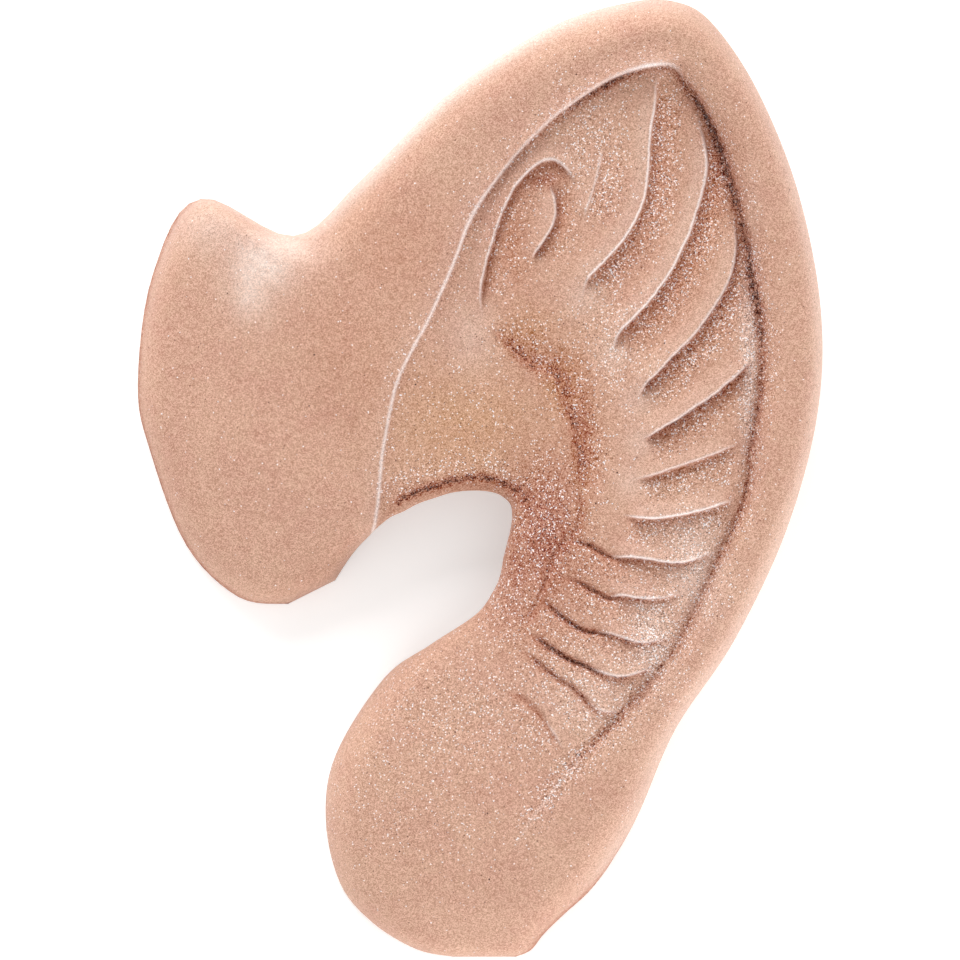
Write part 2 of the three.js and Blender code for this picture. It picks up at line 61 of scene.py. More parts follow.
# Light. A pale room lights the ear almost evenly, as a light tent does. A soft panel stands low
# beyond its point and gives the form, and two weaker low ones make its edges and its dust glow.
PANELS = [
    {"name": "key_panel", "place": (-0.24, 0.86, 0.44), "side": 0.60, "watts": 8.6},
    {"name": "right_panel", "place": (0.75, -0.60, 0.26), "side": 0.60, "watts": 6.0},
    {"name": "foot_panel", "place": (-0.50, -0.80, 0.30), "side": 0.60, "watts": 3.2},
]
ROOM_COLOR = (1.0, 0.99, 0.98, 1.0)
ROOM_STRENGTH = 0.64

for panel in PANELS:
    light = bpy.data.lights.new(panel["name"], "AREA")
    light.shape = "SQUARE"
    light.size = panel["side"]
    light.energy = panel["watts"]
    lamp = bpy.data.objects.new(panel["name"], light)
    lamp.location = panel["place"]
    lamp.rotation_euler = (-Vector(panel["place"])).to_track_quat("-Z", "Y").to_euler()
    bpy.context.scene.collection.objects.link(lamp)

room = bpy.data.worlds.new("room")
room.use_nodes = True
room_shader = room.node_tree.nodes["Background"]
room_shader.inputs["Color"].default_value = ROOM_COLOR
room_shader.inputs["Strength"].default_value = ROOM_STRENGTH
bpy.context.scene.world = room
bpy.context.scene.view_settings.view_transform = "Standard"

# Floor. A plain white sheet under the ear, of translucent plastic that is lit a little from
# below, so that the shadows on it stay pale.
FLOOR_SIDE = 3.0
FLOOR_COLOR = (0.93, 0.93, 0.93, 1.0)
FLOOR_ROUGHNESS = 0.9
FLOOR_GLOW = 0.32

sheet = bmesh.new()
bmesh.ops.create_grid(sheet, x_segments=1, y_segments=1, size=FLOOR_SIDE / 2)
floor_mesh = bpy.data.meshes.new("floor")
sheet.to_mesh(floor_mesh)
sheet.free()
floor = bpy.data.objects.new("floor", floor_mesh)
bpy.context.scene.collection.objects.link(floor)
plastic = bpy.data.materials.new("white_plastic")
plastic.use_nodes = True
plastic_shader = plastic.node_tree.nodes["Principled BSDF"]
plastic_shader.inputs["Base Color"].default_value = FLOOR_COLOR
plastic_shader.inputs["Roughness"].default_value = FLOOR_ROUGHNESS
plastic_shader.inputs["Emission Color"].default_value = FLOOR_COLOR
plastic_shader.inputs["Emission Strength"].default_value = FLOOR_GLOW
floor_mesh.materials.append(plastic)

# Ear shell. One casting of slip latex, poured into a mould and pulled out hollow: a front flap for
# the cheek, a rolled helix that runs over the point, eleven fanned folds, a notch for the ear
# canal and a lobe. Its wall varies about one thickness and is thinned by hand along the notch.
MM = 0.001
EAR_WIDTH = 75.4
EAR_LENGTH = 105.5
EAR_DEPTH = 20.8
WALL = 1.8
NOTCH_EDGE = 0.8
BACK_CURVE = 1.6

# Inner lip of the helix roll, in millimetres. The place of its bead is counted in its softness.
LIP_RISE = 2.4
LIP_SOFTNESS = 0.3
LIP_BEAD = 0.10
LIP_BEAD_AT = 2
BEAD_WIDTH = 0.15
LIP_GROOVE = 0.48
LIP_GROOVE_WIDTH = 0.6

# A full fold, in millimetres. Its drop fades within a share of its reach, and it comes and goes
# within a share of its way.
FOLD_RISE = 0.85
FOLD_DROP = 0.8
FOLD_REACH = 3.0
FOLD_SHARPNESS = 0.11
FOLD_GROOVE_WIDTH = 0.36
DROP_REACH = 0.6
FOLD_FADE = 0.2

# Hollow. Its folds are softer and only a share as high. The rest are shares of the wall: its least
# round, and how high the shell stands at the notch where it begins to have a side wall there.
HOLLOW_FOLD_SHARPNESS = 1.2
HOLLOW_FOLD_SHARE = 0.5
LEAST_HOLLOW_ROUND = 0.2
STANDING_FROM = 0.8
STANDING_RISE = 0.6

# Ends of the flap and of the lobe, counted in sections: how far the shell rounds down, where the
# hollow begins and ends, and how far its sections spread to meet those of the outer side.
FLAP_END_ROUND = 1.0
LOBE_END_ROUND = 2.0
HOLLOW_FIRST = 0.6
HOLLOW_LAST = 25.6
FLAP_END_BLEND = 2
LOBE_END_BLEND = 4

# Unevenness of the hand-modelled form, in layers of a size and a width: of the surface and of the
# lines of the lips.
DENTS = [(0.10, 9.0), (0.035, 2.4)]
WANDERS = [(0.10, 3.0), (0.07, 0.7)]

# Sections of the shell, fanned round the notch from the foot of the flap over the point to the foot
# of the lobe, with the stations from each to the next and how far a painted highlight glows along
# its outer edge.
SECTION_COLUMNS = ["section", "inner_x", "inner_y", "outer_x", "outer_y", "stations", "glow"]
SECTIONS = [
    [0, -0.212, -0.105, -0.279, -0.129, 6, 0.0],
    [1, -0.195, -0.086, -0.351, -0.122, 6, 0.0],
    [2, -0.179, -0.071, -0.427, -0.069, 6, 0.0],
    [3, -0.164, -0.060, -0.480, 0.028, 6, 0.0],
    [4, -0.150, -0.050, -0.499, 0.099, 6, 0.0],
    [5, -0.131, -0.039, -0.477, 0.215, 6, 0.1],
    [6, -0.112, -0.033, -0.409, 0.294, 6, 0.3],
    [7, -0.091, -0.025, -0.272, 0.255, 6, 0.4],
    [8, -0.067, -0.019, -0.173, 0.313, 8, 0.7],
    [9, -0.039, -0.013, -0.041, 0.405, 10, 0.8],
    [10, -0.007, -0.011, 0.100, 0.470, 10, 0.7],
    [11, 0.019, -0.013, 0.217, 0.496, 9, 0.4],
    [12, 0.034, -0.018, 0.287, 0.496, 9, 0.2],
    [13, 0.045, -0.027, 0.339, 0.473, 10, 0.1],
    [14, 0.046, -0.044, 0.404, 0.404, 10, 0.2],
    [15, 0.040, -0.064, 0.463, 0.299, 10, 0.3],
    [16, 0.034, -0.081, 0.496, 0.177, 10, 0.3],
    [17, 0.029, -0.100, 0.491, 0.067, 10, 0.3],
    [18, 0.019, -0.116, 0.446, -0.053, 10, 0.3],
    [19, -0.006, -0.140, 0.370, -0.168, 10, 0.3],
    [20, -0.073, -0.172, 0.286, -0.259, 8, 0.3],
    [21, -0.140, -0.207, 0.233, -0.347, 8, 0.3],
    [22, -0.211, -0.287, 0.198, -0.393, 6, 0.3],
    [23, -0.226, -0.355, 0.160, -0.428, 6, 0.1],
    [24, -0.205, -0.422, 0.121, -0.454, 6, 0.0],
    [25, -0.158, -0.463, 0.091, -0.475, 6, 0.0],
    [26, -0.094, -0.491, 0.072, -0.492, 6, 0.0],
    [27, -0.040, -0.499, 0.050, -0.499, 0, 0.0],
]

# Heights at the sections as shares of the depth: foot is the underside at the notch, edge to line
# the relief inside the roll, band and shoulder the roll, and wide the top of the back wall. Inset
# is how far that wall leans in, and the rounds are the curves at a section's two ends.
HEIGHT_COLUMNS = ["section", "foot", "edge", "floor", "line", "band", "shoulder", "wide",
                  "inset", "inner_round", "outer_round"]
HEIGHTS = [
    [0, 0.00, 0.04, 0.04, 0.04, 0.18, 0.14, 0.04, -0.01, 0.11, 0.11],
    [1, 0.07, 0.13, 0.13, 0.13, 0.27, 0.18, 0.04, -0.01, 0.11, 0.14],
    [2, 0.15, 0.23, 0.23, 0.23, 0.35, 0.21, 0.04, -0.01, 0.10, 0.14],
    [3, 0.25, 0.32, 0.32, 0.32, 0.41, 0.22, 0.04, -0.01, 0.08, 0.15],
    [4, 0.32, 0.38, 0.38, 0.38, 0.44, 0.24, 0.04, -0.01, 0.07, 0.16],
    [5, 0.33, 0.38, 0.39, 0.40, 0.47, 0.28, 0.04, -0.01, 0.07, 0.17],
    [6, 0.33, 0.38, 0.40, 0.44, 0.54, 0.37, 0.07, 0.00, 0.07, 0.20],
    [7, 0.33, 0.38, 0.42, 0.50, 0.63, 0.54, 0.17, 0.12, 0.07, 0.24],
    [8, 0.33, 0.39, 0.46, 0.56, 0.71, 0.67, 0.36, 0.26, 0.07, 0.28],
    [9, 0.33, 0.39, 0.50, 0.62, 0.78, 0.76, 0.47, 0.38, 0.07, 0.30],
    [10, 0.33, 0.39, 0.57, 0.68, 0.85, 0.83, 0.53, 0.42, 0.07, 0.30],
    [11, 0.33, 0.39, 0.63, 0.75, 0.97, 0.93, 0.58, 0.47, 0.07, 0.28],
    [12, 0.33, 0.39, 0.66, 0.77, 1.02, 0.98, 0.60, 0.47, 0.07, 0.24],
    [13, 0.33, 0.40, 0.66, 0.73, 0.98, 0.95, 0.59, 0.47, 0.07, 0.22],
    [14, 0.33, 0.40, 0.66, 0.68, 0.85, 0.86, 0.54, 0.45, 0.07, 0.18],
    [15, 0.34, 0.40, 0.66, 0.65, 0.77, 0.79, 0.50, 0.42, 0.07, 0.17],
    [16, 0.34, 0.41, 0.66, 0.63, 0.73, 0.75, 0.47, 0.41, 0.07, 0.17],
    [17, 0.34, 0.41, 0.65, 0.61, 0.70, 0.72, 0.43, 0.38, 0.07, 0.17],
    [18, 0.34, 0.41, 0.63, 0.59, 0.67, 0.68, 0.40, 0.32, 0.07, 0.17],
    [19, 0.33, 0.40, 0.60, 0.57, 0.64, 0.65, 0.35, 0.23, 0.07, 0.17],
    [20, 0.22, 0.39, 0.57, 0.54, 0.60, 0.60, 0.26, 0.12, 0.11, 0.18],
    [21, 0.05, 0.39, 0.52, 0.52, 0.55, 0.52, 0.14, 0.03, 0.16, 0.18],
    [22, 0.00, 0.36, 0.49, 0.49, 0.47, 0.40, 0.05, 0.00, 0.18, 0.18],
    [23, 0.00, 0.33, 0.43, 0.43, 0.41, 0.33, 0.04, -0.01, 0.18, 0.17],
    [24, 0.00, 0.28, 0.38, 0.38, 0.35, 0.27, 0.04, -0.01, 0.18, 0.15],
    [25, 0.00, 0.24, 0.30, 0.30, 0.28, 0.23, 0.04, -0.01, 0.16, 0.14],
    [26, 0.00, 0.20, 0.24, 0.24, 0.23, 0.18, 0.04, -0.01, 0.14, 0.13],
    [27, 0.00, 0.16, 0.18, 0.18, 0.17, 0.15, 0.04, -0.01, 0.11, 0.11],
]

# Inner edge of the helix roll: places, and shares of its rise, softness and groove. White is how far
# its lip is painted pale as a highlight, and dark how far the crease beside it is stained and
# darkened with painted shade.
LINE_COLUMNS = ["x", "y", "rise", "softness", "groove", "white", "dark", "powder"]
HELIX_LINE = [
    [-0.211, -0.152, 0.4, 1.0, 0.0, 0.0, 0.0, 0.0],
    [-0.153, -0.053, 0.4, 2.0, 0.0, 0.6, 0.1, 0.0],
    [-0.138, 0.031, 0.4, 2.2, 0.0, 0.7, 0.1, 0.2],
    [-0.116, 0.104, 0.4, 2.2, 0.0, 0.7, 0.1, 0.2],
    [-0.072, 0.166, 0.4, 2.2, 0.0, 0.7, 0.1, 0.2],
    [-0.036, 0.224, 0.5, 2.2, 0.1, 0.8, 0.1, 0.2],
    [-0.009, 0.273, 0.5, 2.0, 0.2, 0.8, 0.2, 0.3],
    [0.031, 0.315, 0.5, 1.8, 0.2, 0.6, 0.2, 0.3],
    [0.065, 0.345, 0.5, 1.4, 0.3, 0.5, 0.3, 0.4],
    [0.120, 0.381, 0.5, 1.0, 0.3, 0.5, 0.4, 0.6],
    [0.199, 0.417, 0.6, 1.0, 0.6, 0.5, 1.0, 0.4],
    [0.245, 0.427, 0.6, 1.2, 0.6, 1.0, 0.3, 0.4],
    [0.278, 0.427, 0.6, 1.8, 0.8, 0.5, 0.3, 0.5],
    [0.296, 0.413, 0.5, 2.4, 1.0, 0.0, 0.6, 0.6],
    [0.329, 0.376, 0.5, 3.0, 1.4, 0.0, 1.0, 0.6],
    [0.363, 0.310, 0.5, 3.6, 1.4, 0.0, 1.0, 0.6],
    [0.382, 0.257, 0.5, 4.0, 1.4, 0.0, 0.7, 0.6],
    [0.396, 0.204, 0.5, 4.0, 1.4, 0.0, 1.0, 0.7],
    [0.408, 0.156, 0.5, 4.0, 1.4, 0.0, 0.7, 0.8],
    [0.409, 0.099, 0.5, 4.0, 1.4, 0.0, 0.5, 0.6],
    [0.395, 0.035, 0.5, 4.0, 1.3, 0.0, 0.5, 0.5],
    [0.386, -0.018, 0.5, 4.0, 1.0, 0.0, 0.5, 0.5],
    [0.348, -0.079, 0.5, 4.0, 0.9, 0.0, 0.4, 0.6],
    [0.293, -0.164, 0.4, 4.0, 0.8, 0.0, 0.3, 0.8],
    [0.259, -0.200, 0.4, 4.0, 0.7, 0.0, 0.3, 0.9],
    [0.179, -0.264, 0.2, 4.0, 0.5, 0.0, 0.45, 0.9],
    [0.106, -0.320, 0.0, 4.0, 0.3, 0.2, 0.1, 1.0],
    [0.040, -0.395, 0.0, 4.0, 0.0, 0.0, 0.0, 0.0],
    [0.004, -0.520, 0.0, 4.0, 0.0, 0.0, 0.0, 0.0],
]

# Folds: each rises to a lip and drops behind it, on the left of its way, and after turn, a share of
# that way, it is only a groove. Rise to soft are shares of the sizes above. White is the paleness of
# its lip, a painted highlight, and smear the paleness of its end; dark is its stain with painted
# shade in its crease, flush its redness with painted shade on its low side, and powder its dust.
FOLDS = [
    {"name": "concha groove", "rise": 0.5, "drop": 1.3, "groove": 0.0, "reach": 1.0, "soft": 8.0,
     "turn": 1, "white": 0.0, "dark": 0.6, "flush": 0.3, "powder": 0.6,
     "way": [[0.008, 0.168], [0.040, 0.144], [0.075, 0.121], [0.112, 0.110], [0.126, 0.084],
             [0.141, 0.045], [0.145, 0.006], [0.142, -0.030]]},
    {"name": "spiral", "rise": 0.9, "drop": 0.9, "groove": 0.0, "reach": 0.6, "soft": 1.0,
     "turn": 1, "white": 0.8, "dark": 0.3, "flush": 0.7, "powder": 0.4,
     "way": [[0.139, 0.304], [0.125, 0.323], [0.101, 0.332], [0.061, 0.313], [0.030, 0.272],
             [0.009, 0.222], [0.002, 0.196], [0.006, 0.168]]},
    {"name": "curl in the spiral", "rise": 0.8, "drop": 0.9, "groove": 0.0, "reach": 0.7,
     "soft": 1.0, "turn": 1, "white": 0.7, "dark": 0.6, "flush": 0.7, "powder": 0.4,
     "way": [[0.101, 0.309], [0.109, 0.294], [0.110, 0.276], [0.104, 0.261], [0.093, 0.248],
             [0.082, 0.237], [0.077, 0.227]]},
    {"name": "faint fold by the spiral", "rise": 0.5, "drop": 0.3, "groove": 0.0, "reach": 0.8,
     "soft": 2.0, "turn": 1, "white": 0.5, "dark": 0.0, "flush": 0.2, "powder": 0.9,
     "way": [[0.179, 0.345], [0.172, 0.318], [0.163, 0.296], [0.151, 0.270]]},
    {"name": "fold 1", "rise": 1.0, "drop": 0.8, "groove": 0.0, "reach": 1.1, "soft": 1.0,
     "smear": 0.22, "turn": 1, "white": 1.0, "dark": 0.1, "flush": 0.75, "powder": 1.0,
     "way": [[0.258, 0.430], [0.255, 0.393], [0.249, 0.364], [0.243, 0.309], [0.236, 0.285],
             [0.212, 0.252], [0.174, 0.222], [0.157, 0.208], [0.150, 0.190]]},
    {"name": "fold 2", "rise": 1.1, "drop": 0.9, "groove": 0.0, "reach": 1.1, "soft": 1.0,
     "smear": 0.22, "turn": 1, "white": 1.0, "dark": 0.2, "flush": 0.9, "powder": 1.0,
     "way": [[0.314, 0.385], [0.328, 0.344], [0.329, 0.321], [0.316, 0.281], [0.288, 0.230],
             [0.252, 0.190], [0.202, 0.151], [0.192, 0.130]]},
    {"name": "fold 3", "rise": 1.1, "drop": 1.0, "groove": 0.0, "reach": 1.0, "soft": 1.0,
     "smear": 0.22, "turn": 1, "white": 0.7, "dark": 0.7, "flush": 0.8, "powder": 1.0,
     "way": [[0.369, 0.275], [0.372, 0.239], [0.360, 0.204], [0.319, 0.158], [0.264, 0.116],
             [0.242, 0.100], [0.230, 0.084]]},
    {"name": "fold 4", "rise": 1.1, "drop": 1.1, "groove": 0.0, "reach": 0.9, "soft": 1.0,
     "smear": 0.22, "turn": 1, "white": 0.7, "dark": 0.9, "flush": 0.8, "powder": 0.7,
     "way": [[0.398, 0.126], [0.370, 0.106], [0.316, 0.077], [0.264, 0.053], [0.233, 0.040]]},
    {"name": "fold 5", "rise": 0.8, "drop": 0.7, "groove": 0.0, "reach": 0.8, "soft": 1.0,
     "smear": 0.22, "turn": 1, "white": 0.6, "dark": 0.4, "flush": 0.5, "powder": 0.8,
     "way": [[0.381, 0.038], [0.323, 0.022], [0.275, 0.010], [0.220, -0.002]]},
    {"name": "fold 6", "rise": 1.1, "drop": 1.0, "groove": 0.0, "reach": 0.8, "soft": 1.0,
     "turn": 1, "white": 1.0, "dark": 0.4, "flush": 0.35, "powder": 0.9,
     "way": [[0.374, -0.020], [0.316, -0.033], [0.256, -0.040], [0.205, -0.037]]},
    {"name": "fold 7", "rise": 0.9, "drop": 0.9, "groove": 0.7, "reach": 0.7, "soft": 1.0,
     "turn": 0.52, "white": 0.9, "dark": 0.7, "flush": 0.4, "powder": 0.6,
     "way": [[0.356, -0.071], [0.291, -0.086], [0.228, -0.081], [0.186, -0.079], [0.161, -0.069],
             [0.112, -0.060]]},
    {"name": "fold 8", "rise": 0.8, "drop": 0.7, "groove": 0.8, "reach": 0.7, "soft": 1.0,
     "turn": 0.5, "white": 0.8, "dark": 0.8, "flush": 0.3, "powder": 0.6,
     "way": [[0.304, -0.117], [0.245, -0.124], [0.205, -0.120], [0.186, -0.122], [0.158, -0.112],
             [0.107, -0.097]]},
    {"name": "fold 9", "rise": 0.7, "drop": 0.6, "groove": 0.8, "reach": 0.6, "soft": 1.0,
     "turn": 0.45, "white": 0.6, "dark": 0.8, "flush": 0.3, "powder": 0.6,
     "way": [[0.284, -0.163], [0.237, -0.169], [0.191, -0.160], [0.154, -0.157], [0.110, -0.137],
             [0.086, -0.120]]},
    {"name": "fold 10", "rise": 0.6, "drop": 0.6, "groove": 0.9, "reach": 0.6, "soft": 1.0,
     "turn": 0.4, "white": 0.7, "dark": 0.9, "flush": 0.3, "powder": 0.6,
     "way": [[0.262, -0.194], [0.202, -0.204], [0.148, -0.192], [0.116, -0.181],
             [0.058, -0.152]]},
    {"name": "fold 11", "rise": 0.5, "drop": 0.4, "groove": 0.8, "reach": 0.6, "soft": 1.0,
     "turn": 0.3, "white": 0.5, "dark": 0.5, "flush": 0.2, "powder": 0.6,
     "way": [[0.210, -0.240], [0.174, -0.240], [0.132, -0.215], [0.104, -0.202],
             [0.052, -0.172]]},
    {"name": "faint fold on the lobe", "rise": 0.3, "drop": 0.2, "groove": 0.4, "reach": 0.6,
     "soft": 1.5, "turn": 0.3, "white": 0.4, "dark": 0.3, "flush": 0.2, "powder": 0.6,
     "way": [[0.124, -0.284], [0.094, -0.251], [0.075, -0.235], [0.036, -0.216]]},
    {"name": "foot of the folds", "rise": 0.0, "drop": 0.0, "groove": 0.35, "reach": 0.6,
     "soft": 3.5, "turn": 0, "white": 0.0, "dark": 0.35, "flush": 0.0, "powder": 0.3,
     "way": [[0.151, 0.002], [0.148, -0.021], [0.145, -0.047], [0.112, -0.074], [0.097, -0.105],
             [0.078, -0.136], [0.062, -0.159]]},
    {"name": "crease round the notch", "rise": 0.0, "drop": 0.0, "groove": 0.3, "reach": 0.6,
     "soft": 3.0, "turn": 0, "white": 0.0, "dark": 0.8, "flush": 0.0, "powder": 0.6,
     "way": [[-0.145, -0.043], [-0.116, -0.021], [-0.058, -0.005], [-0.021, 0.002],
             [0.017, 0.001], [0.050, -0.010], [0.069, -0.023], [0.069, -0.045]]},
]

# Soft tints of the latex, with painted light and shade among them: places as shares, half sizes in
# millimetres across and along the ear, and how far each is darkened to mauve, warmed to ochre,
# flushed red, whitened or dusted.
PATCHES = [
    # The glows of the saddle and the flap are whitened as a painted highlight.
    {"name": "glow of the saddle", "x": -0.295, "y": 0.243, "across": 4.5, "along": 2.6,
     "white": 0.6},
    {"name": "middle of the glow", "x": -0.318, "y": 0.225, "across": 3.4, "along": 2.8,
     "white": 0.8},
    {"name": "foot of the glow", "x": -0.335, "y": 0.195, "across": 2.4, "along": 2.6,
     "white": 0.55},
    {"name": "glow of the flap", "x": -0.390, "y": 0.265, "across": 4.5, "along": 2.6,
     "white": 0.3},
    # The crescent in the spiral is darkened to mauve as a painted shadow under the curl.
    {"name": "crescent in the spiral", "x": 0.096, "y": 0.312, "across": 1.9, "along": 1.1,
     "mauve": 0.9, "powder": 0.5},
    # Mauve darkens the neck, the notch and the roots of the folds, partly as a tint and partly as
    # painted shade in these hollows.
    {"name": "neck", "x": 0.096, "y": -0.055, "across": 4.2, "along": 8.5, "mauve": 1.0,
     "powder": 0.8},
    {"name": "foot of the neck", "x": 0.050, "y": -0.131, "across": 3.5, "along": 4.8,
     "mauve": 0.5, "powder": 0.7},
    {"name": "edge of the neck", "x": 0.055, "y": -0.085, "across": 2.0, "along": 8.0, "mauve": 0.75,
     "powder": 0.6},
    {"name": "notch corner", "x": 0.062, "y": -0.020, "across": 2.4, "along": 2.4, "mauve": 0.75,
     "powder": 0.4},
    {"name": "notch edge", "x": -0.014, "y": -0.007, "across": 7.0, "along": 0.9, "mauve": 0.5},
    {"name": "roots of the folds", "x": 0.142, "y": -0.095, "across": 3.0, "along": 6.5,
     "mauve": 0.45, "powder": 0.3},
    {"name": "lower roots", "x": 0.096, "y": -0.165, "across": 2.8, "along": 3.5, "mauve": 0.3,
     "flush": 0.2, "powder": 0.5},
    # Flush in the pit and below the spiral is partly painted shade in the hollow.
    {"name": "pit of the spiral", "x": 0.045, "y": 0.245, "across": 2.6, "along": 6.0,
     "flush": 0.6, "powder": 0.4},
    {"name": "below the spiral", "x": 0.060, "y": 0.150, "across": 3.5, "along": 2.8,
     "ochre": 0.6, "flush": 0.4, "powder": 0.6},
    # Mauve in the concha groove is partly painted shade in it.
    {"name": "bend of the groove", "x": 0.120, "y": 0.100, "across": 2.6, "along": 3.6,
     "ochre": 0.9, "mauve": 0.3, "powder": 0.5},
    {"name": "concha groove", "x": 0.150, "y": 0.045, "across": 1.1, "along": 7.0, "mauve": 0.6,
     "ochre": 0.6, "powder": 0.6},
    {"name": "hollow beside the flap", "x": -0.020, "y": 0.060, "across": 8.5, "along": 7.0,
     "ochre": 0.6, "powder": 0.2},
    {"name": "top of the plate", "x": -0.010, "y": 0.148, "across": 3.2, "along": 4.0,
     "white": 0.22},
    # Flush beside the lip and on the roll is painted shade where the roll turns from the light.
    {"name": "flap beside the lip", "x": -0.196, "y": 0.135, "across": 6.0, "along": 9.0,
     "flush": 0.25},
    {"name": "roll", "x": -0.140, "y": 0.240, "across": 8.0, "along": 7.0, "flush": 0.28},
    {"name": "top of the lobe", "x": -0.015, "y": -0.240, "across": 9.0, "along": 6.0,
     "powder": 0.5},
    {"name": "lobe", "x": -0.080, "y": -0.320, "across": 9.0, "along": 8.0, "powder": 0.22},
    {"name": "between groove and folds", "x": 0.195, "y": 0.140, "across": 4.0, "along": 7.0,
     "powder": 0.6},
    {"name": "left of fold 1", "x": 0.160, "y": 0.355, "across": 3.5, "along": 6.0,
     "powder": 0.8},
    {"name": "outer ends of the folds", "x": 0.392, "y": 0.130, "across": 1.0, "along": 12.0,
     "white": 0.4, "powder": 1.5},
    {"name": "lower ends of the folds", "x": 0.250, "y": -0.165, "across": 2.6, "along": 5.2,
     "white": 0.3, "powder": 1.7},
    {"name": "folds 6 to 8", "x": 0.312, "y": -0.090, "across": 3.2, "along": 5.5, "white": 0.35,
     "powder": 1.0},
    {"name": "last folds", "x": 0.165, "y": -0.225, "across": 5.0, "along": 4.5, "white": 0.15,
     "powder": 0.6},
]
TINTS = ["mauve", "ochre", "flush", "white", "powder"]

# Steps across a section in its stretches and at each cut edge. The lip's stretch is counted in its
# softness, and no stretch gets less than a share of the section.
OUTER_STEPS = {"inner_round": 5, "floor": 34, "lip": 2, "band": 12, "outer_round": 8, "back": 4}
HOLLOW_STEPS = {"inner_round": 3, "floor": 12, "lip": 2, "band": 6, "outer_round": 4, "back": 3}
EDGE_STEPS = 1
LIP_STRETCH = 4
LEAST_STRETCH = 0.05

# How near a lip the squares are halved each time, and how many columns and rows of them stay
# whole at the notch and at both ends.
HALVED_WITHIN = [1.2, 0.65, 0.30]
WHOLE_COLUMNS = 1
WHOLE_ROWS = 2

# Steps of a line between two of its points, and how far on each side of it a fold is felt.
LINE_STEPS = 8
FOLD_SPAN = 7.0
SPAN_FADE = 2.0
LAST = len(SECTIONS) - 1


def ease(share):
    """Share that leaves 0 and reaches 1 gently."""
    share = np.clip(share, 0.0, 1.0)
    return share * share * (3 - 2 * share)


def quarter(share):
    """Height of a quarter circle at a share of its radius from its foot."""
    return np.sqrt(1 - (1 - np.clip(share, 0.0, 1.0)) ** 2)


def through_three(start, middle, end, share):
    """Value on a smooth curve through a start, a middle and an end."""
    rest = 1 - share
    return start * rest * (1 - 2 * share) + middle * 4 * share * rest - end * share * (1 - 2 * share)


def bell(off, width):
    """Share that is 1 at the middle of a soft band and fades on both sides of it."""
    return np.exp(-(off / width) ** 2)


def smooth_between(start, end, slope, next_slope, part):
    """Value part of the way from a start to an end, with the slopes that it has at both."""
    lift = part * part * (3 - 2 * part)
    return (start * (1 - lift) + end * lift + slope * part * (1 - part) ** 2
            - next_slope * part ** 2 * (1 - part))


def smooth_columns(table, names, place):
    """Smooth values of a table's columns, by their names, at places counted in rows."""
    rows = np.array(table, float)
    last = len(rows) - 1
    row = np.minimum(np.floor(place).astype(int), last - 1)
    part = (place - row)[:, None]

    def value(index):
        return rows[np.clip(index, 0, last)]

    slope = (value(row + 1) - value(row - 1)) / 2
    next_slope = (value(row + 2) - value(row)) / 2
    values = smooth_between(value(row), value(row + 1), slope, next_slope, part)
    return dict(zip(names, values.T))


def smooth_way(points):
    """Smooth way through points given in shares, with no loops where they lie close together."""
    knots = np.array([point[:2] for point in points]) * [EAR_WIDTH, EAR_LENGTH]
    knots = np.vstack([2 * knots[0] - knots[1], knots, 2 * knots[-1] - knots[-2]])
    part = np.arange(LINE_STEPS)[:, None] / LINE_STEPS
    stretches = []
    for before, start, end, after in zip(knots, knots[1:], knots[2:], knots[3:]):
        first, middle, last = (math.sqrt(np.linalg.norm(step))
                               for step in (start - before, end - start, after - end))
        leave = (start - before) / first - (end - before) / (first + middle)
        arrive = (after - end) / last - (after - start) / (middle + last)
        slope = middle * leave + (end - start)
        next_slope = middle * arrive + (end - start)
        stretches.append(smooth_between(start, end, slope, next_slope, part))
    return np.vstack(stretches + [knots[-2]])


def beside_way(way, x, y):
    """Signed distance from a way, over zero on its left, and the share of the way passed."""
    distance = np.full(x.shape, FOLD_SPAN)
    side = np.ones(x.shape)
    share = np.zeros(x.shape)
    low = way.min(axis=0) - FOLD_SPAN
    high = way.max(axis=0) + FOLD_SPAN
    near = np.nonzero((x > low[0]) & (x < high[0]) & (y > low[1]) & (y < high[1]))[0]
    x = x[near]
    y = y[near]
    for step in range(len(way) - 1):
        along = way[step + 1] - way[step]
        off_x = x - way[step][0]
        off_y = y - way[step][1]
        part = np.clip((off_x * along[0] + off_y * along[1]) / (along @ along), 0, 1)
        off_x = off_x - along[0] * part
        off_y = off_y - along[1] * part
        here = np.hypot(off_x, off_y)
        closer = here < distance[near]
        found = near[closer]
        distance[found] = here[closer]
        side[found] = np.where(along[0] * off_y - along[1] * off_x >= 0, 1.0, -1.0)[closer]
        share[found] = ((step + part) / (len(way) - 1))[closer]
    return distance * side, share


helix_way = smooth_way(HELIX_LINE)
fold_ways = [smooth_way(fold["way"]) for fold in FOLDS]


def helix_crossings(inner, direction):
    """Distance along each section to the helix line, the sine between them and the line's row."""
    start = helix_way[:-1]
    along = helix_way[1:] - start
    offset = start[None] - inner[:, None]
    turn = direction[:, [0]] * along[:, 1] - direction[:, [1]] * along[:, 0]
    part = (offset[..., 0] * direction[:, [1]] - offset[..., 1] * direction[:, [0]]) / turn
    distance = (offset[..., 0] * along[:, 1] - offset[..., 1] * along[:, 0]) / turn
    order = np.where(distance >= 0, distance, EAR_LENGTH - distance)
    best = np.argmin(np.where((part >= 0) & (part < 1), order, np.inf), axis=1)
    row = np.arange(len(inner))
    sine = np.abs(turn[row, best]) / np.linalg.norm(along[best], axis=1)
    return distance[row, best], sine, (best + part[row, best]) / LINE_STEPS


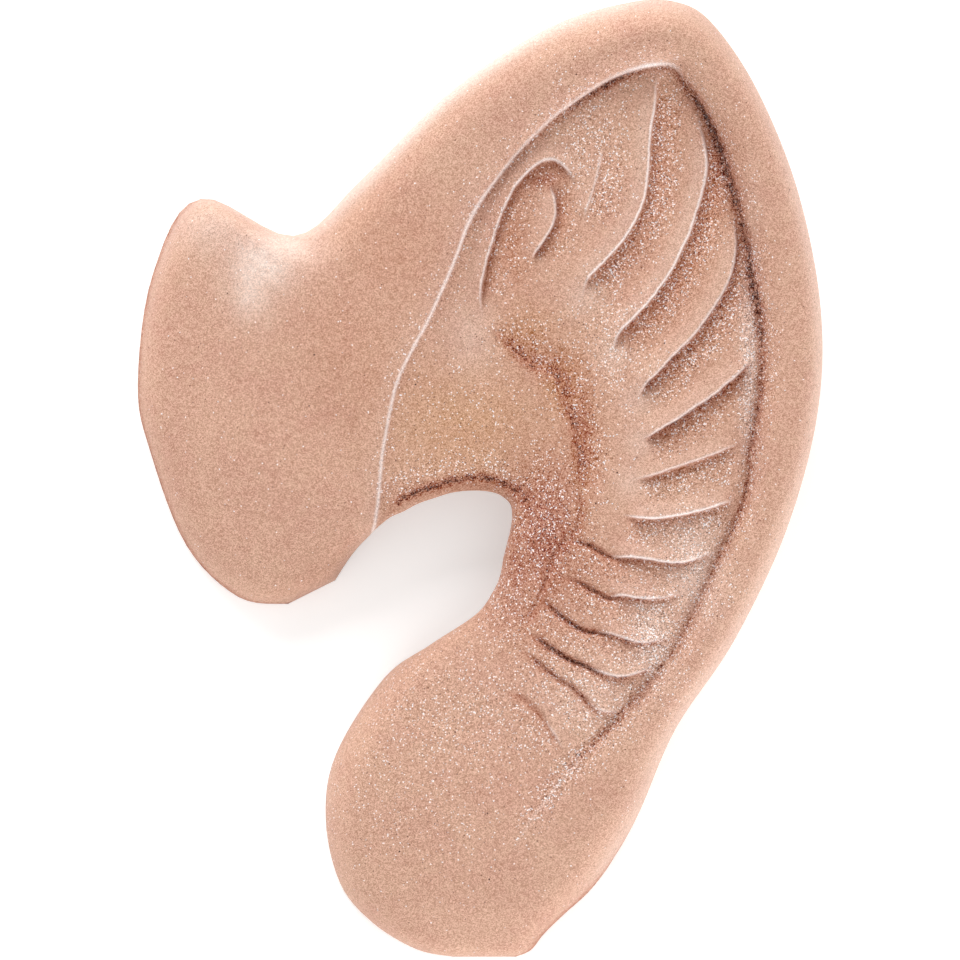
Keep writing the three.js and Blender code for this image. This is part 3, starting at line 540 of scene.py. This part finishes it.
def sections_at(places):
    """Everything that the sections at these places need, as one array of numbers each."""
    places, back = np.unique(places, return_inverse=True)
    plan = smooth_columns(SECTIONS, SECTION_COLUMNS, places)
    inner = np.stack([plan["inner_x"] * EAR_WIDTH, plan["inner_y"] * EAR_LENGTH], axis=1)
    outer = np.stack([plan["outer_x"] * EAR_WIDTH, plan["outer_y"] * EAR_LENGTH], axis=1)
    length = np.linalg.norm(outer - inner, axis=1)
    direction = (outer - inner) / length[:, None]
    lip, sine, row = helix_crossings(inner, direction)
    heights = smooth_columns(HEIGHTS, HEIGHT_COLUMNS, places)
    line = smooth_columns(HELIX_LINE, LINE_COLUMNS, row)
    found = {name: heights[name] * EAR_DEPTH for name in HEIGHT_COLUMNS[1:]}
    found.update({name: line[name] for name in LINE_COLUMNS[2:]})
    found["foot"] = np.maximum(found["foot"], 0)
    found["glow"] = plan["glow"]
    found["rise"] *= LIP_RISE
    found["softness"] *= LIP_SOFTNESS
    found["groove"] *= LIP_GROOVE
    found.update(inner_x=inner[:, 0], inner_y=inner[:, 1], ahead_x=direction[:, 0],
                 ahead_y=direction[:, 1], length=length, lip=lip, sine=sine)
    return {name: values[back] for name, values in found.items()}


def beside_folds(x, y, wander=0.0):
    """For each fold: signed distance, how much of it there is and how much of that is a lip."""
    beside = []
    for fold, way in zip(FOLDS, fold_ways):
        signed, share = beside_way(way, x, y)
        signed = signed + wander
        there = ease(share / FOLD_FADE) * ease((1 - share) / FOLD_FADE)
        there = there * ease((FOLD_SPAN - np.abs(signed)) / SPAN_FADE)
        turned = ease((share - fold["turn"]) / FOLD_FADE + 0.5) if fold["turn"] < 1 else 0.0
        beside.append((fold, signed, there, 1 - turned))
    return beside


def fold_height(beside, hollow):
    """Height that the folds add to the smooth surface."""
    height = 0.0
    for fold, signed, there, lip in beside:
        off = np.abs(signed) / (fold["reach"] * FOLD_REACH)
        sharpness = HOLLOW_FOLD_SHARPNESS if hollow else FOLD_SHARPNESS * fold["soft"]
        behind = 0.5 + 0.5 * np.tanh(signed / sharpness)
        rise = fold["rise"] * FOLD_RISE * np.clip(1 - off ** 2, 0, 1) ** 2
        drop = fold["drop"] * FOLD_DROP * np.exp(-off / DROP_REACH)
        groove = fold["groove"] * FOLD_DROP * bell(signed, FOLD_GROOVE_WIDTH)
        height = height + there * (lip * (rise * (1 - behind) - drop * behind) - (1 - lip) * groove)
        if not hollow:
            bead = fold["white"] * LIP_BEAD * bell(signed + BEAD_WIDTH, BEAD_WIDTH)
            height = height + there * lip * bead
    return height * HOLLOW_FOLD_SHARE if hollow else height


def top_height(found, distance, beside, hollow):
    """Height of the surface across the sections, before their ends round down."""
    beyond = (distance - found["lip"]) * found["sine"]
    lip_beyond = np.maximum(beyond - WALL if hollow else beyond, 0)
    softness = found["softness"] + (WALL / 2 if hollow else 0)
    floor_share = distance / np.where(found["lip"] > 0, found["lip"], 1)
    floor_part = through_three(found["edge"], found["floor"], found["line"], floor_share)
    band_share = (distance - found["lip"]) / (found["length"] - found["lip"])
    band_part = through_three(found["line"] + found["rise"], found["band"], found["shoulder"],
                              band_share) - found["rise"] * np.exp(-lip_beyond / softness)
    height = np.where(distance < found["lip"], floor_part, band_part)
    groove_width = LIP_GROOVE_WIDTH + found["softness"] / 2 + (WALL / 2 if hollow else 0)
    height = height - found["groove"] * bell(beyond, groove_width)
    if not hollow:
        from_bead = beyond - LIP_BEAD_AT * found["softness"]
        height = height + found["white"] * LIP_BEAD * bell(from_bead, BEAD_WIDTH)
    return height + fold_height(beside, hollow)


def stretch_shares(steps, column):
    """How far each stretch of a section is passed at a column, with its round ends eased."""
    shares = {}
    passed = 0
    for name, count in steps.items():
        shares[name] = np.clip((column - passed) / count, 0, 1)
        passed += count
    shares["inner_round"] = 1 - np.cos(math.pi / 2 * shares["inner_round"])
    shares["outer_round"] = np.sin(math.pi / 2 * shares["outer_round"])
    return shares


def distance_across(shares, length, inner_round, lip, outer_round):
    """Distance from a section's inner end, with squares close together in its round ends."""
    free = length - inner_round - outer_round
    least = LEAST_STRETCH * free
    middle = np.clip(lip, inner_round + least, length - outer_round - least)
    lip_end = middle + np.minimum(LIP_STRETCH * LIP_SOFTNESS, least)
    return (inner_round * shares["inner_round"] + (middle - inner_round) * shares["floor"]
            + (lip_end - middle) * shares["lip"]
            + (length - outer_round - lip_end) * shares["band"]
            + outer_round * shares["outer_round"])


def end_share(places, first, last):
    """Share of its height that the shell keeps near its two ends."""
    flap = quarter((places - first) / (FLAP_END_ROUND - first))
    lobe = quarter((last - places) / (last - (LAST - LOBE_END_ROUND)))
    return flap * lobe


def plan_at(found, distance):
    """Places in plan at a distance from the sections' inner ends."""
    x = found["inner_x"] + found["ahead_x"] * distance
    y = found["inner_y"] + found["ahead_y"] * distance
    return x, y


def standing(found, distance, back_share, height, wide):
    """Points of a skin: its surface, and its back wall down to the resting edge."""
    x, y = plan_at(found, distance - found["inset"] * back_share ** BACK_CURVE)
    height = np.where(back_share > 0, wide * (1 - back_share), height)
    return np.stack([x, y, height], axis=1)


def uneven(x, y, layers):
    """Gentle unevenness of the hand-modelled form, in layers of a size and a width."""
    return sum(size * np.array([noise.noise(Vector((u / wide, v / wide, wide)))
                                for u, v in zip(x, y)]) for size, wide in layers)


def outer_skin(places, columns):
    """Points of the outer skin, with what lies beside each of them for its finish."""
    found = sections_at(places)
    keep = end_share(places, 0, LAST)
    length = found["length"]
    shares = stretch_shares(OUTER_STEPS, columns)
    distance = distance_across(shares, length, found["inner_round"], found["lip"],
                               found["outer_round"])
    x, y = plan_at(found, distance)
    wander = uneven(x, y, WANDERS)
    found["lip"] = found["lip"] + wander
    beside = beside_folds(x, y, wander)
    top = top_height(found, distance, beside, False) + uneven(x, y, DENTS)
    inside = found["foot"] + (top - found["foot"]) * quarter(distance / found["inner_round"])
    outside = found["wide"] + (top - found["wide"]) * quarter(
        (length - distance) / found["outer_round"])
    height = np.where(distance > length / 2, outside, inside) * keep
    points = standing(found, distance, shares["back"], height, found["wide"] * keep)
    beyond = (distance - found["lip"]) * found["sine"]
    return points, {"found": found, "beside": beside, "beyond": beyond, "x": x, "y": y,
                    "from_outline": length - distance}


def hollow_skin(places, columns):
    """Points of the hollow side, one wall below the outer skin."""
    found = sections_at(places)
    keep = end_share(places, HOLLOW_FIRST, HOLLOW_LAST)

    def over(distance):
        """Height of the outer skin over the hollow, with its folds softened."""
        return top_height(found, distance, beside_folds(*plan_at(found, distance)), True)

    edge_top = over(np.zeros_like(places))
    full = (edge_top - found["foot"] - STANDING_FROM * WALL) / (STANDING_RISE * WALL)
    full = np.clip(full, 0, 1)
    start = WALL * full
    end = found["length"] - WALL
    inner_round = np.maximum(found["inner_round"] - WALL, LEAST_HOLLOW_ROUND * WALL)
    outer_round = np.maximum(found["outer_round"] - WALL, LEAST_HOLLOW_ROUND * WALL)
    shares = stretch_shares(HOLLOW_STEPS, columns)
    along = distance_across(shares, end - start, inner_round, found["lip"] + WALL - start,
                            outer_round)
    distance = start + along
    top = over(distance) - WALL
    thin_edge = np.minimum(top, found["foot"] - NOTCH_EDGE)
    edge = thin_edge + (found["foot"] - thin_edge) * full
    inside = edge + (top - edge) * quarter(along / inner_round)
    outside = found["wide"] + (top - found["wide"]) * quarter((end - distance) / outer_round)
    height = np.where(distance > found["length"] / 2, outside, inside)
    height = np.maximum(height, 0) * keep
    return standing(found, distance, shares["back"], height, found["wide"] * keep)


def hollow_places(places):
    """Places of the hollow side that belong to places of the outer side."""
    near_flap = np.maximum(1 - places / FLAP_END_BLEND, 0)
    near_lobe = np.maximum(1 - (LAST - places) / LOBE_END_BLEND, 0)
    return places + HOLLOW_FIRST * near_flap ** 2 - (LAST - HOLLOW_LAST) * near_lobe ** 2


# The casting starts as one flat sheet of squares, one row of them for each station and one column
# for each step round the section, outer side first. The squares are halved where the folds are.
counts = [row[SECTION_COLUMNS.index("stations")] for row in SECTIONS]
station_places = [index + step / count for index, count in enumerate(counts)
                  for step in range(count)] + [float(LAST)]
STATIONS = len(station_places) - 1
OUTER_LAST = sum(OUTER_STEPS.values())
SEAM = OUTER_LAST + sum(HOLLOW_STEPS.values()) + 2 * EDGE_STEPS
SEAM_GAP = 1e-7

casting = bmesh.new()
bmesh.ops.create_grid(casting, x_segments=STATIONS, y_segments=SEAM, size=1.0)
for vertex in casting.verts:
    vertex.co.x = (vertex.co.x + 1) / 2 * STATIONS
    vertex.co.y = (vertex.co.y + 1) / 2 * SEAM


def places_of(flat):
    """Places along the shell of points on the flat sheet."""
    return np.interp(flat[:, 0], np.arange(STATIONS + 1), station_places)


for reach in HALVED_WITHIN:
    squares = [face for face in casting.faces if len(face.verts) == 4]
    flat = np.array([face.calc_center_median()[:2] for face in squares])
    points, sides = outer_skin(places_of(flat), flat[:, 1])
    nearest = np.min([np.where(there > 0, np.abs(signed), FOLD_SPAN)
                      for _, signed, there, _ in sides["beside"]], axis=0)
    nearest = np.minimum(nearest, np.abs(sides["beyond"]))
    inside = (flat[:, 1] > WHOLE_COLUMNS) & (flat[:, 1] < OUTER_LAST - OUTER_STEPS["back"])
    inside &= (flat[:, 0] > WHOLE_ROWS) & (flat[:, 0] < STATIONS - WHOLE_ROWS)
    chosen = np.nonzero(inside & (nearest < reach))[0]
    edges = {edge for index in chosen for edge in squares[index].edges}
    bmesh.ops.subdivide_edges(casting, edges=list(edges), cuts=1, use_grid_fill=True)

flat = np.array([vertex.co[:2] for vertex in casting.verts])
places = places_of(flat)
is_outer = (flat[:, 1] <= OUTER_LAST + 0.5) | (flat[:, 1] > SEAM - 0.5)
outer_columns = np.where(flat[:, 1] > SEAM - 0.5, 0, flat[:, 1])
points = np.zeros((len(flat), 3))
points[is_outer], sides = outer_skin(places[is_outer], outer_columns[is_outer])
hollow_columns = SEAM - EDGE_STEPS - flat[:, 1]
points[~is_outer] = hollow_skin(hollow_places(places[~is_outer]), hollow_columns[~is_outer])

# Finish and painted light and shade, in bands, here in millimetres: on the helix roll from its inner
# lip, on a fold from its crest, and on the thin edge of the flap and lobe from the outline. The pale
# lips and the highlight bands beside them are painted highlights, and the stains in the creases are
# partly painted shade.
HELIX_BANDS = {"pale_at": 0.22, "pale_width": 0.18, "stain_and_shade_width": 0.55, "stain_and_shade_climb": 0.5,
               "highlight_band": 0.12, "highlight_band_at": 0.8, "highlight_band_width": 1.0, "powder_width": 1.6}
FOLD_BANDS = {"pale_at": 0.10, "pale_width": 0.13, "highlight_band": 0.15, "highlight_band_at": 0.9,
              "highlight_band_width": 0.9, "crease_width": 0.18, "climb_width": 0.1, "groove_width": 0.26,
              "groove_more": 0.09, "flush_width": 2.6, "dust_from": 0.2, "dust_to": 4.0,
              "dust_fade": 2.0, "smear_width": 1.87}
EDGE_BANDS = {"stain_and_shade": 0.34, "stain_and_shade_width": 0.25, "thin_to": 2.8, "thin_fade": 2.0,
              "glow_width": 1.4}


def helix_finish(found, beyond, from_outline):
    """Pale lip and highlight band as painted highlights, stain with painted shade, and powder of the
    helix roll, and painted shade and highlight at the shell's edge.
    """
    bands = HELIX_BANDS
    edge = EDGE_BANDS
    # The pale lip and the highlight band are painted highlights, and the stain beside the lip is
    # partly painted shade.
    pale = found["white"] * bell(beyond - bands["pale_at"], bands["pale_width"])
    stain_and_shade = (found["dark"] * bell(np.minimum(beyond, 0), bands["stain_and_shade_width"])
             * bell(np.maximum(beyond, 0), bands["stain_and_shade_climb"] * found["softness"]))
    thin = ease((edge["thin_to"] - found["wide"]) / edge["thin_fade"])
    # Painted shade on the back wall of the thin edge, and a painted highlight along the outline.
    rim = edge["stain_and_shade"] * thin * bell(from_outline, edge["stain_and_shade_width"])
    glow = found["glow"] * bell(from_outline, edge["glow_width"])
    highlight_band = bands["highlight_band"] * found["white"] * bell(beyond - bands["highlight_band_at"], bands["highlight_band_width"])
    powder = found["powder"] * bell(beyond, bands["powder_width"])
    return {"pale": pale, "stain_and_shade": np.maximum(stain_and_shade, rim), "white": np.maximum(glow, highlight_band),
            "powder": powder}


def fold_finish(fold, signed, there, lip):
    """Painted highlights, stain with painted shade, flush with painted shade on the low side, and
    powder beside one fold.
    """
    bands = FOLD_BANDS
    soft = fold["soft"]
    low = np.maximum(signed, 0)
    climb = bell(np.minimum(signed, 0), bands["climb_width"] * soft)
    # The crease and groove stains are partly painted shade, the pale lip and the highlight band are
    # painted highlights, and the blush is painted shade on the low side.
    crease = lip * climb * np.exp(-low / (bands["crease_width"] * (1 + soft)))
    groove = (1 - lip) * bell(signed, bands["groove_width"] + bands["groove_more"] * soft)
    pale = lip * bell(signed + bands["pale_at"], bands["pale_width"])
    highlight_band = lip * bell(signed + bands["highlight_band_at"], bands["highlight_band_width"])
    blush = climb * bell(low, bands["flush_width"] * fold["reach"])
    dusty = (ease(signed / bands["dust_from"])
             * ease((bands["dust_to"] - signed) / bands["dust_fade"]))
    return {"pale": fold["white"] * there * pale, "stain_and_shade": fold["dark"] * there * (crease + groove),
            "white": bands["highlight_band"] * fold["white"] * there * highlight_band,
            "flush": fold["flush"] * there * blush, "powder": fold["powder"] * there * dusty}


def patch_finish(patch, x, y):
    """Tints of one patch, among them painted highlights and painted shade."""
    nearness = (bell(x - patch["x"] * EAR_WIDTH, patch["across"])
                * bell(y - patch["y"] * EAR_LENGTH, patch["along"]))
    return {name: patch[name] * nearness for name in TINTS if name in patch}


def finish_of(sides):
    """How far each outer point is painted pale, stained and shaded, tinted, highlighted and dusted.
    """
    x = sides["x"]
    y = sides["y"]
    coats = [helix_finish(sides["found"], sides["beyond"], sides["from_outline"])]
    for (fold, signed, there, lip), way in zip(sides["beside"], fold_ways):
        coats.append(fold_finish(fold, signed, there, lip))
        smear = bell(np.hypot(x - way[-1][0], y - way[-1][1]), FOLD_BANDS["smear_width"])
        coats.append({"white": fold.get("smear", 0) * smear})
    coats += [patch_finish(patch, x, y) for patch in PATCHES]
    finish = {name: np.zeros_like(x) for name in ["pale", "stain_and_shade"] + TINTS}
    for coat in coats:
        for name, strength in coat.items():
            finish[name] = np.maximum(finish[name], strength)
    return finish


# Each vertex moves to its place on the shell, and the outer ones carry their finish with its painted
# light and shade.
finish = finish_of(sides)
layers = {name: casting.verts.layers.float.new(name) for name in finish}
outer_order = np.cumsum(is_outer) - 1
for index, vertex in enumerate(casting.verts):
    vertex.co = points[index] * MM
    if is_outer[index]:
        for name, layer in layers.items():
            vertex[layer] = finish[name][outer_order[index]]

# The last column of the sheet meets the first, and the two open ends are closed.
seam = [vertex for vertex in casting.verts if vertex.is_boundary]
bmesh.ops.remove_doubles(casting, verts=seam, dist=SEAM_GAP)
open_edges = [edge for edge in casting.edges if edge.is_boundary]
bmesh.ops.holes_fill(casting, edges=open_edges, sides=0)
bmesh.ops.recalc_face_normals(casting, faces=casting.faces)
for face in casting.faces:
    face.smooth = True
ear_mesh = bpy.data.meshes.new("latex_ear")
casting.to_mesh(ear_mesh)
casting.free()
ear = bpy.data.objects.new("latex_ear", ear_mesh)
bpy.context.scene.collection.objects.link(ear)

# Latex. Natural slip latex tinted like skin: matte, finely grained, pale on the lips of the folds as
# a painted highlight, stained red-brown in their creases and darkened there with painted shade,
# tinted, partly with painted light and shade, and dusted with white powder.
TAN = (0.575, 0.342, 0.248, 1.0)
PINK = (0.540, 0.301, 0.222, 1.0)
SAND = (0.580, 0.358, 0.255, 1.0)
# Flush, mauve and the red and dark browns are partly painted shade in the hollows and creases.
FLUSH_COLOR = (0.450, 0.185, 0.105, 1.0)
OCHRE_COLOR = (0.540, 0.295, 0.160, 1.0)
MAUVE_COLOR = (0.330, 0.115, 0.065, 1.0)
RED_STAIN_AND_SHADE_COLOR = (0.340, 0.118, 0.064, 1.0)
# Chalk whitens dusty places and, as a painted highlight, the outline, the saddle and the bands
# beside the lips.
CHALK_AND_HIGHLIGHT_COLOR = (0.860, 0.720, 0.650, 1.0)
DIRT_STAIN_AND_SHADE_COLOR = (0.060, 0.010, 0.004, 1.0)
# Pale is the painted highlight on the lips.
PALE_COLOR = (0.950, 0.880, 0.860, 1.0)
DUST_COLOR = (0.950, 0.910, 0.930, 1.0)
PINHOLE_COLOR = (0.060, 0.015, 0.010, 1.0)
SHEEN_TINT = (1.0, 0.90, 0.84, 1.0)
GRAIN_TINT = (1.57, 1.18, 1.00)

# Patterns to the metre, and the range that most of a cloud pattern lies in.
BLOTCH_SCALE = 110.0
MOTTLE_SCALE = 520.0
PATCHY_SCALE = 1500.0
GRAIN_SCALE = 10000.0
SPECK_SCALE = 8000.0
PINHOLE_SCALE = 420.0
CLOUD_DETAIL = 3.0
MOTTLE_DETAIL = 4.0
CLOUD_ROUGHNESS = 0.6
CLOUD_SPAN = (0.35, 0.65)
MOTTLE_SPAN = (0.35, 0.60)
SAND_SPAN = (0.40, 0.70)

# How unevenly each coat takes, and the strengths of stain and painted shade that turn it red-brown
# and then dark brown.
SAND_STRENGTH = 0.6
UNEVEN_TINT = (0.75, 1.1)
UNEVEN_POWDER = (0.55, 1.0)
UNEVEN_STAIN_AND_SHADE = (0.5, 1.5)
GRAINY_STAIN_AND_SHADE = (0.35, 1.65)
GRAINY_PALE = (0.75, 1.15)
RED_STAIN_AND_SHADE_SPAN = (0.0, 0.7)
DARK_STAIN_AND_SHADE_SPAN = (0.6, 1.2)

# Specks. A cell is dust or dirt where its chance is over a limit that falls as the powder rises.
# Dust is weaker where stain and painted shade lie, and a pinhole is a share of its cell wide.
DUST_LIMIT = 0.998
DUST_FALL = -0.15
DIRT_LIMIT = 0.999
DIRT_FALL = -0.035
DIRT_STRENGTH = 0.65
STAIN_AND_SHADE_SPAN = (0.2, 0.9)
DUST_STRENGTH = (0.85, 0.25)
PINHOLE_SIZE = (0.035, 0.050)
PINHOLE_CHANCE = 0.5
SMOOTH_GRAIN = 0.22
DUSTY_GRAIN = 0.42

# Surface. The stained and shaded creases are duller than the rest, and the grain stands out a
# little.
ROUGHNESS = 0.72
DULL_SPAN = (0.0, 0.8)
GLOSS = (0.25, 0.04)
SHEEN = (0.08, 0.0)
SHEEN_ROUGHNESS = 0.40
MOTTLE_RELIEF = 1.5
RELIEF_STRENGTH = 0.35
RELIEF_HEIGHT = 0.10 * MM

latex = bpy.data.materials.new("latex")
latex.use_nodes = True
nodes = latex.node_tree.nodes
links = latex.node_tree.links
shader = nodes["Principled BSDF"]


def wire(kind, inputs, output=0, **settings):
    """New node with its settings made and its inputs set or linked; gives one of its outputs."""
    node = nodes.new(kind)
    for name, value in settings.items():
        setattr(node, name, value)
    for key, value in inputs.items():
        if isinstance(value, bpy.types.NodeSocket):
            links.new(value, node.inputs[key])
        else:
            node.inputs[key].default_value = value
    return node.outputs[output]


def reckon(operation, first, second=0.0, third=0.0):
    """Sum done on two or three values."""
    return wire("ShaderNodeMath", {0: first, 1: second, 2: third}, operation=operation)


def between(value, low, high, to_low=0.0, to_high=1.0):
    """Value carried from one range to another and held at its ends."""
    return wire("ShaderNodeMapRange", {"Value": value, "From Min": low, "From Max": high,
                                       "To Min": to_low, "To Max": to_high})


def tinted(share, below, above):
    """One colour laid over another; 6 and 7 are the node's two colours, and 2 gives the result."""
    return wire("ShaderNodeMix", {0: share, 6: below, 7: above}, 2, data_type="RGBA")


def painted(name):
    """Strength of a finish that the vertices carry."""
    return wire("ShaderNodeAttribute", {}, "Fac", attribute_name=name)


place = wire("ShaderNodeTexCoord", {}, "Object")


def clouds(scale, detail=CLOUD_DETAIL):
    """Soft uneven pattern."""
    return wire("ShaderNodeTexNoise", {"Vector": place, "Scale": scale, "Detail": detail,
                                       "Roughness": CLOUD_ROUGHNESS})


def cells(scale):
    """Distance from the middle of a small cell."""
    return wire("ShaderNodeTexVoronoi", {"Vector": place, "Scale": scale})


def chances(distance):
    """Three chances, each the same all over a cell."""
    return wire("ShaderNodeSeparateColor", {"Color": distance.node.outputs["Color"]}).node.outputs


# Tints, from the broadest to the finest, with the painted light and shade among them.
blotches = clouds(BLOTCH_SCALE)
mottle = clouds(MOTTLE_SCALE, MOTTLE_DETAIL)
patchy = clouds(PATCHY_SCALE)
powder = reckon("MULTIPLY", painted("powder"), between(mottle, *MOTTLE_SPAN, *UNEVEN_POWDER))
grain = chances(cells(GRAIN_SCALE))[0]
white_chance, dark_chance, either = chances(cells(SPECK_SCALE))
skin = tinted(between(blotches, *CLOUD_SPAN), TAN, PINK)
skin = tinted(between(mottle, *SAND_SPAN, 0.0, SAND_STRENGTH), skin, SAND)
# Flush and mauve are partly painted shade in the hollows, and white is partly a painted highlight.
for name, color in [("flush", FLUSH_COLOR), ("ochre", OCHRE_COLOR), ("mauve", MAUVE_COLOR),
                    ("white", CHALK_AND_HIGHLIGHT_COLOR)]:
    strength = reckon("MULTIPLY", painted(name), between(patchy, *CLOUD_SPAN, *UNEVEN_TINT))
    skin = tinted(strength, skin, color)
# Stain, darkened further with painted shade in the creases.
stain_and_shade = reckon("MULTIPLY", painted("stain_and_shade"), between(patchy, *CLOUD_SPAN, *UNEVEN_STAIN_AND_SHADE))
stain_and_shade = reckon("MULTIPLY", stain_and_shade, between(either, 0.0, 1.0, *GRAINY_STAIN_AND_SHADE))
skin = tinted(between(stain_and_shade, *RED_STAIN_AND_SHADE_SPAN), skin, RED_STAIN_AND_SHADE_COLOR)
skin = tinted(between(stain_and_shade, *DARK_STAIN_AND_SHADE_SPAN), skin, DIRT_STAIN_AND_SHADE_COLOR)
# Pale lips, a painted highlight.
pale = reckon("MULTIPLY", painted("pale"), between(grain, 0.0, 1.0, *GRAINY_PALE))
skin = tinted(pale, skin, PALE_COLOR)

# Grain, and specks of dust and dirt in the dusty places.
dust_limit = reckon("MULTIPLY_ADD", powder, DUST_FALL, DUST_LIMIT)
dirt_limit = reckon("MULTIPLY_ADD", powder, DIRT_FALL, DIRT_LIMIT)
dust = reckon("GREATER_THAN", white_chance, dust_limit)
dust = reckon("MULTIPLY", dust, between(stain_and_shade, *STAIN_AND_SHADE_SPAN, *DUST_STRENGTH))
dirt = reckon("GREATER_THAN", dark_chance, dirt_limit)
skin = tinted(reckon("MULTIPLY", dirt, DIRT_STRENGTH), skin, DIRT_STAIN_AND_SHADE_COLOR)
skin = tinted(dust, skin, DUST_COLOR)
coarseness = between(powder, 0.0, 1.0, SMOOTH_GRAIN, DUSTY_GRAIN)
shift = reckon("MULTIPLY", reckon("SUBTRACT", grain, 0.5), coarseness)
grained = wire("ShaderNodeVectorMath", {0: shift, 1: GRAIN_TINT, 2: skin},
               operation="MULTIPLY_ADD")
grained = wire("ShaderNodeVectorMath", {0: grained, 1: PINHOLE_COLOR[:3]}, operation="MAXIMUM")

# Pinholes, left by bubbles in the slip.
from_hole = cells(PINHOLE_SCALE)
hole = between(from_hole, *PINHOLE_SIZE, 1.0, 0.0)
hole = reckon("MULTIPLY", hole, reckon("LESS_THAN", chances(from_hole)[0], PINHOLE_CHANCE))
links.new(tinted(hole, grained, PINHOLE_COLOR), shader.inputs["Base Color"])

# Shine and relief.
shader.inputs["Roughness"].default_value = ROUGHNESS
links.new(between(stain_and_shade, *DULL_SPAN, *GLOSS), shader.inputs["Specular IOR Level"])
links.new(between(stain_and_shade, *DULL_SPAN, *SHEEN), shader.inputs["Sheen Weight"])
shader.inputs["Sheen Roughness"].default_value = SHEEN_ROUGHNESS
shader.inputs["Sheen Tint"].default_value = SHEEN_TINT
relief = reckon("SUBTRACT", reckon("MULTIPLY_ADD", mottle, MOTTLE_RELIEF, grain), hole)
bump = wire("ShaderNodeBump", {"Strength": RELIEF_STRENGTH, "Distance": RELIEF_HEIGHT,
                               "Height": relief})
links.new(bump, shader.inputs["Normal"])
ear_mesh.materials.append(latex)

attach(ear, "root")
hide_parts("ear_shell")
